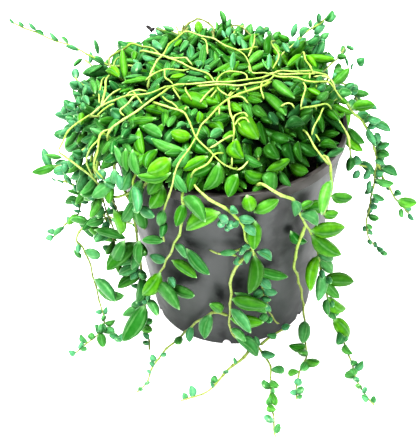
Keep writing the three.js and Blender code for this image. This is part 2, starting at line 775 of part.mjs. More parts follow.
// Leaves that fill the gap between the core and the wall.
function innerLeaf(index) {
  const turn = (360 * index) / CROWN_INNER_LEAVES + (draw(index, 11) - 0.5) * 6;
  const root = corePoint(turn, 1.1 + 0.8 * draw(index, 12));
  const [c, s] = [Math.cos(radians(turn)), Math.sin(radians(turn))];
  root.add(new THREE.Vector3(-2 * c, -2 * s, 0));
  const aim = (swing, lift) => {
    const [turnTo, tilt] = [radians(turn + swing), radians(8 + 34 * draw(index, 13) + lift)];
    const way = new THREE.Vector3(
      Math.cos(tilt) * Math.cos(turnTo),
      Math.cos(tilt) * Math.sin(turnTo),
      Math.sin(tilt),
    );
    return { way, face: UP };
  };
  return settle(CROWN, root, aim, 14 + 4 * draw(index, 14), 0.55);
}

// Leaves set by hand, then those of the growth rule, along one stem or runner.
function stemLeaves(owner, branch, points, seed) {
  const places = walk(points);
  const at = (distance) => places.find((place) => place.distance >= distance) ?? places[places.length - 1];
  const grown = [];
  const add = (distance, bearing, lift, length, own) => {
    const { point } = at(distance);
    const aim = (swing, more) => ({
      way: pointing(point, bearing + swing, lift + more),
      face: wayAt(point).out,
    });
    const leaf = settle(owner, point, aim, length, own);
    if (leaf) grown.push(leaf);
  };
  (branch.leaves ?? []).forEach((leaf) => add(...leaf, 0.3));
  if (branch.growth) {
    const [from, every, first, last, until] = branch.growth;
    const end = Math.min(until ?? Infinity, places[places.length - 1].distance);
    let side = draw(seed, 21) < 0.5 ? 1 : -1;
    for (let k = 0; from + k * every <= end; k += 1) {
      const distance = from + k * every;
      const { point, travel } = at(distance);
      const { down, right } = wayAt(point);
      const heading = (Math.atan2(travel.dot(right), -travel.dot(down)) * 180) / Math.PI;
      const share = (k * every) / Math.max(end - from, 1);
      const length = (first + (last - first) * share ** 1.2) * (0.85 + 0.3 * draw(seed, k, 22));
      const bearing = heading + side * (35 + 55 * draw(seed, k, 23));
      add(distance, bearing, 8 + 45 * draw(seed, k, 24), Math.max(length, 4), 0.6);
      side = -side;
    }
  }
  return grown;
}

// Everything in its order of growth: all stems first, then their leaves, then the crown's leaves

const entries = Object.entries(STEMS).map(([name, branches]) => ({
  name,
  branches: branches.map((branch) => ({ ...branch, points: branch.route.map(polar) })),
}));
const runners = RUNNERS.map((runner) => ({ ...runner, points: runner.route }));

function reserve(owner, points) {
  walk(points).forEach(({ point }) => room.add(owner, point, STEM_RADIUS));
}

entries.forEach(({ name, branches }) => branches.forEach(({ points }) => reserve(name, points)));
runners.forEach(({ points }) => reserve(CROWN, points));
for (let level = 0; level <= CORE_LEVELS.length - 1; level += 0.5) {
  for (let turn = 0; turn < 360; turn += 6) {
    const skin = corePoint(turn, level);
    const middle = new THREE.Vector3(CROWN_CENTRE[0], CROWN_CENTRE[1], POT_HEIGHT + 12);
    room.add("core", skin.clone().addScaledVector(middle.sub(skin).normalize(), 4), 4.5);
  }
}

const group = new THREE.Group();
let seed = 1;
const feet = [];
for (const { name, branches } of entries) {
  feet.push(branches[0].points[0]);
  const bodies = branches.map(({ points }) => stemSolid(points));
  for (const branch of branches) {
    stemLeaves(name, branch, branch.points, seed).forEach((leaf) => bodies.push(leafSolid(leaf)));
    seed += 1;
  }
  group.add(named(name, geometryOf(fused(bodies)), LEAF_GREEN));
}

room.cells.forEach((balls, key) => room.cells.set(key, balls.filter(({ owner }) => owner !== "core")));

const pegs = Array.from({ length: CROWN_PEGS }, (_, i) => {
  const [x, y] = polar([(360 / CROWN_PEGS) * i + 9, CROWN_PEG_RING, 0]);
  return [
    [x, y, MIX_TOP - HOLE_DEPTH + 1],
    [x, y, MIX_TOP - 2],
    [x, y, MIX_TOP + 3],
  ];
});
pegs.forEach((points) => feet.push(points[0]));

const crownBodies = [makeCore(), ...pegs.map(stemSolid), ...runners.map(({ points }) => stemSolid(points))];
for (const runner of runners) {
  stemLeaves(CROWN, runner, runner.points, seed).forEach((leaf) => crownBodies.push(leafSolid(leaf)));
  seed += 1;
}
for (let i = 0; i < CROWN_LEAVES; i += 1) {
  const leaf = crownLeaf(i);
  if (leaf) crownBodies.push(leafSolid(leaf));
}
for (let i = 0; i < CROWN_INNER_LEAVES; i += 1) {
  const leaf = innerLeaf(i);
  if (leaf) crownBodies.push(leafSolid(leaf));
}

group.add(named("pot", makePot(), POT_BLACK));
group.add(named("potting_mix", makeMix(feet), MIX_BROWN));
group.add(named(CROWN, geometryOf(fused(crownBodies)), LEAF_GREEN));

export default group;
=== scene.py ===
"""A potted string of watermelons: melon-shaped leaves on stems heaped over a black nursery pot.

The layout follows the part: the same routes and the same rules place the stems and their leaves, in
millimetres round the centre of the pot's underside. Meshes are written in metres.
"""

import logging
from collections import defaultdict
from collections.abc import Callable, Iterable, Sequence
from dataclasses import dataclass
from enum import Enum
from math import atan2, ceil, cos, degrees, exp, floor, hypot, inf, pi, radians, sin, sqrt

import bmesh
import bpy
from mathutils import Matrix, Vector, noise


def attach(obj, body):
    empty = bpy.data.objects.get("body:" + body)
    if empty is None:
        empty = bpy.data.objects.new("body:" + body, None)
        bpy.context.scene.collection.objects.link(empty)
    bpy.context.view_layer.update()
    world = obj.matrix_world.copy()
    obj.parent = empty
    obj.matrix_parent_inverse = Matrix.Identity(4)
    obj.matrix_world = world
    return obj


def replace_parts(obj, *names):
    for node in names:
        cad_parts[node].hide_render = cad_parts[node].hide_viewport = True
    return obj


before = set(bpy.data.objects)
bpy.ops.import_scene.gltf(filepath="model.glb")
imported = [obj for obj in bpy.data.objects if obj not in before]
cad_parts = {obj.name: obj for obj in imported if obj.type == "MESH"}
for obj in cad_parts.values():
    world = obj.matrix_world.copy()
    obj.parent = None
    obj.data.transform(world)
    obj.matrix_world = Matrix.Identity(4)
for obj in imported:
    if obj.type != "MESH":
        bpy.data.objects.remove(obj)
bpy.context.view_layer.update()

log = logging.getLogger("string_of_watermelons")

Colour = tuple[float, float, float]
Numbers = tuple[float, ...]
Shown = tuple[Numbers, Numbers, float, float, float]
BMesh = bmesh.types.BMesh
Material = bpy.types.Material
Mesh = bpy.types.Mesh
Object = bpy.types.Object
Socket = bpy.types.NodeSocket
Aim = Callable[[float, float], tuple[Vector, Vector]]

MM = 0.001
UP = Vector((0, 0, 1))

# Pot and potting mix
POT_HEIGHT = 126.0
POT_TOP_RADIUS = 65.0
POT_BASE_RADIUS = 48.6
BAND_HEIGHT = 7.0
BAND_PROUD = 0.9
WALL = 1.4
FLOOR = 1.8
MIX_TOP = 114.6

# Stems
STEM_RADIUS = 1.15
HOLE_DEPTH = 9.0
SOIL_RING = 57.0

# Room for leaves
GAP = 0.4
ROOT_SHARE = 0.3
CELL = 14.0

# Further tries of a leaf that has no room: their number, swing, lift and loss of length
TRIES = 9
TRY_SWING = 13
TRY_LIFT = 4
TRY_SHRINK = 0.035

# How near a leaf may come to its owner's other leaves, as a share of their radii
NEAR_BY_HAND = 0.3
NEAR_GROWN = 0.6
NEAR_SMALL = 0.62
NEAR_SCATTERED = 0.75
NEAR_LEFT = 0.45
NEAR_INNER = 0.55
NEAR_FILL = 0.5
NEAR_FILL_INNER = 0.42

# Crown
CROWN = "leafy_crown"
CROWN_CENTRE = (-9.0, 4.0)
CROWN_REACH = (64.0, 60.0)
CROWN_DENT = 7.0
CROWN_DENT_TURN = -38.0
CROWN_DENT_SPREAD = 30.0
CROWN_LEAVES = 103
CROWN_INNER_LEAVES = 46
TOP_LEVEL = 7
EDGE_LEVEL = 4.1
TOP_SHARE = 0.68
GOLDEN_TURN = 137.508
FILL_LEAVES = 1500
FILL_INNER_LEAVES = 90
SPRIGS = 22
SPRIG_GROWTH = (3, 2.6, 8.5, 5.5)
SPRIG_GIRTH = 1.25
SPRIG_LEAST = 3
SPRIG_FOOT = 153.5
SHOWN_TOP = 160.5
HEAP_TOP = 158.0
FRONT_VIEW = Vector((0, -0.76, 0.65))
CLEAR_STEPS = (1.5, 4.5, 8.0, 12.0)
CLEAR_SHARE = 0.8

# Core of the crown while stems are dressed: depth and radius of the balls that stand for it
CORE_DEPTH = 4
CORE_BALL = 4.5

# Leaves laid flatter on the heap's top: from which height, how much flatter, longer and slimmer
LAID_FROM = POT_HEIGHT + 14
LAID_CENTRE = POT_HEIGHT - 30
LAID_SHARE = 0.6
LAID_LONGER = 1.06
LAID_GIRTH = 0.78

# Small leaves along the hanging stems: spacing, least length, and how far up a stem stays bare
SMALL_EVERY = 5.0
LEAST_LEAF = 4
BARE_FRONT = 120
BARE_SIDE = 40
BARE_BRANCH = 4
BARE_LENGTHS = {"stem_left": 160}


def clamp(value: float, low: float = 0.0, high: float = 1.0) -> float:
    """Returns the value held between low and high."""
    return min(max(value, low), high)


def draw(a: float, b: float, c: float = 0) -> float:
    """Returns a repeatable draw from 0 to 1 for whole numbers, the last of which tells its uses apart."""
    wave = sin(a * 12.9898 + b * 78.233 + c * 37.719) * 43758.5453
    return wave - floor(wave)


def cos_sin(angle: float) -> tuple[float, float]:
    """Returns the cosine and sine of an angle in degrees."""
    return cos(radians(angle)), sin(radians(angle))


def polar(turn: float, radius: float, height: float) -> Vector:
    """Returns the point at a turn in degrees round the pot, a radius and a height."""
    c, s = cos_sin(turn)
    return Vector((radius * c, radius * s, height))


def outward(point: Vector) -> Vector:
    """Returns the level direction from the pot's axis through a point."""
    return Vector((point.x, point.y, 0)).normalized()


def on_axis(height: float) -> Vector:
    """Returns the point on the crown's own axis at a height."""
    return Vector((*CROWN_CENTRE, height))


def body_radius(height: float) -> float:
    """Returns the outer radius of the pot's wall at a height."""
    return POT_BASE_RADIUS + (POT_TOP_RADIUS - BAND_PROUD - POT_BASE_RADIUS) * height / POT_HEIGHT


def before_wall(turn: float, height: float, away: float) -> Vector:
    """Returns the point at a turn, a height and a distance before the pot's wall."""
    return polar(turn, body_radius(height) + away, height)


def rise(turn: float, crossing: float | None = None) -> list[Numbers]:
    """The start of a stem, from the potting mix up along the wall and over the rim.

    Args:
        turn: Where the stem stands in the mix, in degrees.
        crossing: Where it crosses the rim, if that is another turn.

    Returns:
        Points as turn, radius and height.
    """
    return [
        (turn, SOIL_RING, MIX_TOP - HOLE_DEPTH + 1),
        (turn, SOIL_RING + 0.3, MIX_TOP + 2),
        (turn, SOIL_RING + 1.7, POT_HEIGHT - 1),
        (turn if crossing is None else crossing, POT_TOP_RADIUS - 2.5, POT_HEIGHT + 4),
    ]


@dataclass(frozen=True)
class Branch:
    """A stem or side branch.

    Attributes:
        route: Its points, as turn, radius and height round the pot, or x, y, z for a runner.
        leaves: Leaves listed one by one, as distance along, bearing, lift and length.
        growth: Start, spacing, first length, last length and perhaps the end of its grown leaves.
        thick: Its radius at the foot and at the tip.
        brown: How brown it is at the foot and at the tip.
    """

    route: Sequence[Numbers]
    leaves: Sequence[Numbers] = ()
    growth: Numbers = ()
    thick: tuple[float, float] = (1.0, 0.5)
    brown: tuple[float, float] = (0.0, 0.5)


# Trailing stems and their side branches. Routes are turn, radius, height. Leaves are distance along,
# bearing, lift, length.
STEM_PARTS: list[tuple[str, Branch]] = [
    ("stem_right", Branch(
        [*rise(12), (11, 66, 130), (10, 71, 122), (9, 77, 116), (8, 83, 103), (8, 87, 89), (8, 87, 76),
         (8, 86, 59), (8, 85, 39), (8, 88, 27), (7, 96, 18)],
        leaves=[(72, 300, 30, 9), (82, 300, 25, 7), (87, 315, 35, 12), (90, 285, 55, 13), (87, 70, -40, 13),
         (86, 140, -60, 18), (95, 170, -25, 8), (100, 270, 25, 7), (117, 280, 40, 8), (128, 145, -20, 5),
         (138, 200, 0, 4), (146, 290, 20, 6)],
        growth=(34, 6, 13, 9, 84),
    )),
    ("stem_right", Branch(
        [(8, 87, 88), (7, 93, 74), (7, 104, 55), (6, 111, 47)],
        leaves=[(16, 290, 25, 8), (23, 75, -10, 7), (29, 315, 25, 6), (36, 195, -10, 8), (37, 295, 25, 6),
         (44, 120, 20, 7), (46, 230, 20, 6)],
    )),
    ("stem_right_upper", Branch(
        [*rise(22), (22, 66, 134), (21, 72, 132), (20, 76, 126), (18, 81, 117), (17, 84, 108)],
        growth=(30, 6, 14, 8),
    )),
    ("stem_right_front", Branch(
        [*rise(-37, -39), (-42, 69, 129), (-43, 71, 120), (-42, 70.5, 112), (-43, 70, 106), (-46, 69, 99)],
        leaves=[(41, 255, 15, 23), (52, 110, 20, 13), (63, 105, 10, 9), (62, 305, -35, 15)],
    )),
    ("stem_front_right", Branch(
        [*rise(-78, -76), (-74, 71, 132), (-68, 71, 126), (-62, 70, 118), (-59, 69, 108), (-51, 66.5, 90),
         (-43, 65, 69), (-42, 67, 55), (-40, 69.5, 40), (-39, 72, 27), (-37, 75, 13), (-40, 86, 3),
         (-45, 96, 2), (-50, 109, 2), (-52, 125, 2)],
        leaves=[(51, 180, 15, 9), (61, 80, 0, 9), (64, 135, 25, 12), (85, 95, 35, 20), (89, 140, 30, 21),
         (107, 320, 0, 18), (107, 140, 30, 14), (112, 245, 5, 23), (115, 155, 20, 14), (131, 110, 15, 20),
         (124, 200, 5, 18), (132, 160, 20, 15), (144, 145, 20, 18), (145, 190, 10, 12), (146, 255, 10, 11),
         (163, 160, 35, 19), (158, 175, 15, 13), (172, 245, 0, 10), (177, 240, 0, 11), (181, 210, 0, 10),
         (200, 95, 10, 8), (197, 245, 5, 10), (205, 305, 5, 7), (211, 210, 5, 6), (226, 55, 10, 4)],
    )),
    ("stem_front_right", Branch(
        [(-55, 67.8, 98), (-57, 65.5, 85), (-57, 62.5, 67), (-52, 60, 52), (-46, 58, 32), (-42, 56.5, 16),
         (-44, 60, 5), (-52, 69, 2), (-56, 75, 2), (-64, 83, 2), (-70, 99, 2)],
        leaves=[(92, 235, 15, 16), (108, 280, 5, 12), (94, 265, 5, 15), (112, 255, 5, 12), (121, 240, 5, 11),
         (129, 255, 10, 9), (121, 175, 10, 13), (123, 195, 5, 15), (120, 165, 10, 15), (143, 250, 15, 6),
         (148, 160, 20, 4)],
    )),
    ("stem_front_centre", Branch(
        [*rise(-108, -106), (-103, 70, 133), (-93, 69, 122), (-88, 68, 116), (-85, 67, 108), (-83, 65.5, 97),
         (-80, 64, 87), (-77, 61, 67), (-73, 59, 49), (-70, 56, 29), (-67, 55, 21)],
        leaves=[(62, 70, 25, 9), (70, 120, 20, 7), (64, 50, 5, 13), (67, 65, 5, 20), (88, 10, 5, 18),
         (93, 125, 20, 10), (86, 280, 20, 18), (85, 275, 20, 6), (89, 235, 20, 8), (92, 190, 10, 24),
         (111, 80, 25, 15), (116, 70, 20, 6), (126, 95, 20, 8), (140, 105, 20, 5), (63, 250, 20, 5),
         (58, 355, 10, 5)],
    )),
    ("stem_front_centre", Branch(
        [(-80.5, 64.3, 89), (-87, 65, 80), (-90, 64, 72), (-91, 61, 50), (-92, 58, 27), (-90, 57, 17),
         (-77, 57, 7), (-73, 68, 2), (-75, 80, 2), (-78, 94, 2), (-79, 108, 2), (-80, 120, 2)],
        leaves=[(31, 85, 20, 14), (40, 95, 20, 21), (41, 145, 15, 15), (50, 75, 25, 23), (58, 80, 25, 21),
         (53, 120, 15, 12), (77, 135, 10, 19), (69, 95, 25, 13), (97, 150, 10, 12), (102, 175, 5, 12),
         (111, 160, 10, 11), (119, 170, 10, 10), (128, 165, 10, 11), (136, 185, 10, 9), (140, 210, 10, 6),
         (156, 45, 15, 6), (95, 350, 20, 7)],
    )),
    ("stem_front_centre", Branch(
        [(-92, 59, 36), (-100, 57.5, 36), (-110, 56, 26), (-118, 54.5, 15), (-126, 53.5, 3), (-127, 59, 2),
         (-127, 72, 2), (-126, 79, 2), (-123, 94, 2), (-123, 102, 2)],
        leaves=[(5, 335, 5, 13), (8, 25, 5, 7), (11, 190, 25, 15), (32, 175, 20, 10), (50, 150, 5, 10),
         (57, 130, 5, 10), (67, 150, 10, 5), (74, 285, 20, 5), (76, 215, 20, 4), (82, 165, 10, 5),
         (81, 120, 5, 8), (90, 125, 10, 4), (96, 175, 20, 4)],
    )),
    ("stem_front_centre", Branch(
        [(-80, 57, 7), (-82, 58, 3), (-87, 63, 2), (-94, 71, 2), (-99, 84, 2), (-104, 91, 2), (-109, 97, 2)],
        leaves=[(14, 270, 20, 4), (23, 190, 10, 4), (33, 335, 20, 5), (35, 250, 20, 4), (51, 340, 20, 7),
         (55, 335, 20, 4)],
    )),
    ("stem_front_centre", Branch(
        [(-75, 57.5, 7), (-62, 54, 8), (-54, 53, 8), (-49, 53, 6)],
        leaves=[(13, 260, 15, 8), (17, 75, 20, 6)],
    )),
    ("stem_front_left", Branch(
        [*rise(-114, -111), (-109.5, 69.5, 127), (-109, 69.5, 120), (-111, 68, 109), (-114, 66, 98),
         (-122, 64, 77), (-128, 62, 64), (-134, 63, 48), (-137, 66, 38), (-139, 68, 30), (-140, 69.5, 20),
         (-142, 73, 8)],
        leaves=[(34, 80, 15, 21), (38, 180, 5, 13), (89, 95, 5, 21), (118, 95, 5, 24), (133, 75, 0, 19),
         (106, 205, 25, 19), (136, 175, 30, 26), (91, 265, 0, 11), (114, 130, 5, 7), (117, 90, 0, 9),
         (73, 110, 15, 10), (74, 100, 10, 26)],
    )),
    ("stem_left_front", Branch(
        [*rise(-150, -149), (-147, 70, 127), (-144, 70, 118), (-143, 67, 108), (-143, 65, 97),
         (-144, 64, 81), (-143, 64, 57), (-144, 64, 37), (-146, 63, 10), (-146, 64, 3), (-139, 67.5, 2),
         (-133, 73, 2)],
        leaves=[(62, 105, 15, 20), (88, 85, 0, 16), (88, 195, 45, 24), (103, 225, 50, 16),
         (112, 220, 55, 16), (89, 170, 5, 16), (115, 30, 0, 13), (113, 175, 15, 18), (144, 270, 55, 14),
         (135, 235, 55, 9), (70, 190, 30, 13), (86, 205, 40, 11), (157, 100, 5, 11), (171, 130, 5, 6),
         (125, 90, 5, 6)],
        growth=(36, 8, 17, 10, 130),
    )),
    ("stem_left", Branch(
        [*rise(-168), (-167.5, 71, 128), (-167, 76, 115), (-166.5, 78, 95), (-166, 80, 75), (-167, 87, 69),
         (-167, 91.5, 61), (-167, 88.5, 55), (-167, 86, 41), (-166, 85, 25), (-163, 84, 12), (-156, 86, 3),
         (-153, 96, 2), (-150, 109, 2)],
        leaves=[(109, 125, -5, 6), (116, 75, -55, 13), (139, 100, -45, 23), (147, 80, -55, 20),
         (163, 355, 0, 5), (169, 15, 0, 7), (175, 85, 50, 9), (174, 0, 10, 14), (175, 60, 0, 10),
         (176, 75, 0, 15), (95, 130, -60, 20), (186, 250, 20, 7), (190, 120, 20, 6), (196, 200, 20, 5)],
        growth=(36, 8, 16, 12, 92),
    )),
    ("stem_left", Branch(
        [(-157, 86, 3.5), (-150, 81, 2), (-146, 80, 2)],
        leaves=[(8, 120, 25, 8), (13, 60, 30, 9), (15, 200, 20, 8), (16, 150, 30, 7)],
    )),
    ("stem_left_outer", Branch(
        [*rise(-175), (-174.5, 72, 128), (-174, 79, 116), (-173.5, 83.5, 102), (-173.5, 84.5, 86),
         (-174, 89, 71), (-174, 97, 64), (-175, 108, 52)],
        leaves=[(97, 145, -45, 16)],
        growth=(38, 7, 16, 5),
    )),
    ("stem_left_outer", Branch([(-173.5, 84.5, 90), (-174, 92, 95), (-174, 98, 97)], growth=(6, 4, 8, 5))),
    ("stem_left_outer", Branch(
        [(-173.6, 82.5, 105), (-174, 93, 108), (-174, 101, 104)],
        leaves=[(17, 290, 25, 15)],
        growth=(7, 4, 7, 5),
    )),
    ("stem_left_inner", Branch(
        [*rise(-159), (-159, 73, 124), (-157, 77, 108), (-157, 76, 90), (-158, 72, 66), (-158, 70, 50)],
        growth=(36, 6, 17, 10),
    )),
    ("stem_left_short", Branch(
        [*rise(-134), (-134, 70, 126), (-133, 70, 114), (-132, 68, 102), (-133, 67, 92)],
        growth=(36, 7, 17, 9),
    )),
]

# Runners over the crown and the sprigs that stand out of it, as x, y, z, or x, y at the heap's top
RUNNERS: list[Branch] = [
    Branch(
        [(-60, -30, 133), (-61, -35, 143), (-58.5, -35, 147.5), (-53.5, -33.5, 150.5), (-46, -30.5, 154),
         (-41, -27, 156), (-33, -19, 157.5), (-28, -13.5), (-20, -12), (-10, -11), (0, -9, 157),
         (6.5, -8.3, 157), (12, -7.5, 157), (18, -5.7, 157), (23, -3, 157), (28.5, 1.2, 156.5),
         (34.5, 1.5, 156), (45, 3.8, 154), (54, 4.5, 151), (53, 10, 144), (46, 12, 136)],
    ),
    Branch(
        [(-42, 0, 147), (-40, 2, 157), (-38, 8), (-34, 20), (-30, 32), (-25.5, 40), (-22, 43.5),
         (-15.5, 40.5), (-8.5, 36), (-2, 29.5), (4.5, 22.5), (11, 15.5, 157), (14, 6, 148)],
    ),
    Branch(
        [(-55, 12, 146), (-61, 8, 155), (-62.5, 14), (-60.5, 21.5), (-55, 27), (-51.5, 31, 158.5),
         (-46.5, 29), (-40, 26), (-36, 23, 155)],
        thick=(1.0, 0.8), brown=(1.0, 0.6),
    ),
    Branch(
        [(-60, -12, 138), (-72, -19, 145), (-69.5, -22, 148), (-65.3, -21.5, 151), (-59.7, -21, 154.5),
         (-52.7, -20, 156.5), (-45.4, -20.5, 157.5), (-37.7, -18.5), (-28, -14), (-24, -13, 154)],
    ),
    Branch(
        [(20, -2, 148), (23, -6, 154.5), (19, -12, 156), (9.5, -17.5, 156), (1, -23.5, 156),
         (-3, -28, 155.7), (-10, -38.5, 154), (-13, -41.3, 152.5), (-15.5, -46.5, 149.5), (-19.5, -53, 146),
         (-25, -60.5, 142), (-28, -65, 133), (-33.5, -60.5, 114), (-35.5, -56.8, 100), (-35, -55.8, 89)],
        leaves=[(115, 205, 15, 11), (125, 115, 35, 11)],
    ),
    Branch(
        [(0.3, -22.5, 155.5), (0.8, -31, 155.5), (2.6, -39, 153), (2.7, -42, 151), (2.4, -46, 147.5),
         (1.8, -51, 144), (1, -57, 139), (0, -50, 134)],
    ),
    Branch(
        [(-34, -20, 150), (-36.8, -25, 156), (-30, -30.5, 156), (-21.8, -34.3, 156), (-19.5, -40.6, 154.5),
         (-18, -44, 153), (-15.5, -48, 150), (-10, -54, 146), (-2, -59, 141), (3, -58, 137), (3, -46, 133)],
    ),
    Branch(
        [(18, 0, 148), (20, -2, 155), (24, 0, 156), (28.6, -1.2, 156), (38, -1.7, 156), (43, 0, 155),
         (49, 3, 153.5), (54, 4, 150), (58, 3, 143), (46, 2, 137)],
    ),
    Branch([(-58, -30, 137), (-64, -35, 144), (-66, -41, 138), (-68, -44, 131), (-64, -46, 124)]),
    Branch(
        [(-43, 24, 145), (-54, 22, 150), (-65, 20, 152), (-73, 20), (-81, 20, 163), (-89, 20, 167),
         (-96, 20, 170), (-103, 20, 174), (-114, 20, 180)],
        growth=(24, 5.5, 9, 6),
    ),
    Branch(
        [(20, 18, 147), (28, 24, 150), (35, 30, 154), (43, 30, 162), (49, 30, 167), (55, 30, 172)],
        growth=(18, 3.5, 9, 6),
    ),
    Branch([(44, 20, 138), (54, 26, 141), (62, 31, 146), (66, 33, 152)], growth=(10, 4, 9, 6)),
    Branch([(-60, 24, 138), (-72, 30, 143), (-80, 34, 148)], growth=(10, 4.5, 10, 7)),
]


def fine(foot: float, tip: float, *route: Numbers, brown: tuple[float, float] = (0.0, 0.5)) -> Branch:
    """Returns a thin runner from its radius at the foot and at the tip, and its points."""
    return Branch(route, thick=(foot, tip), brown=brown)


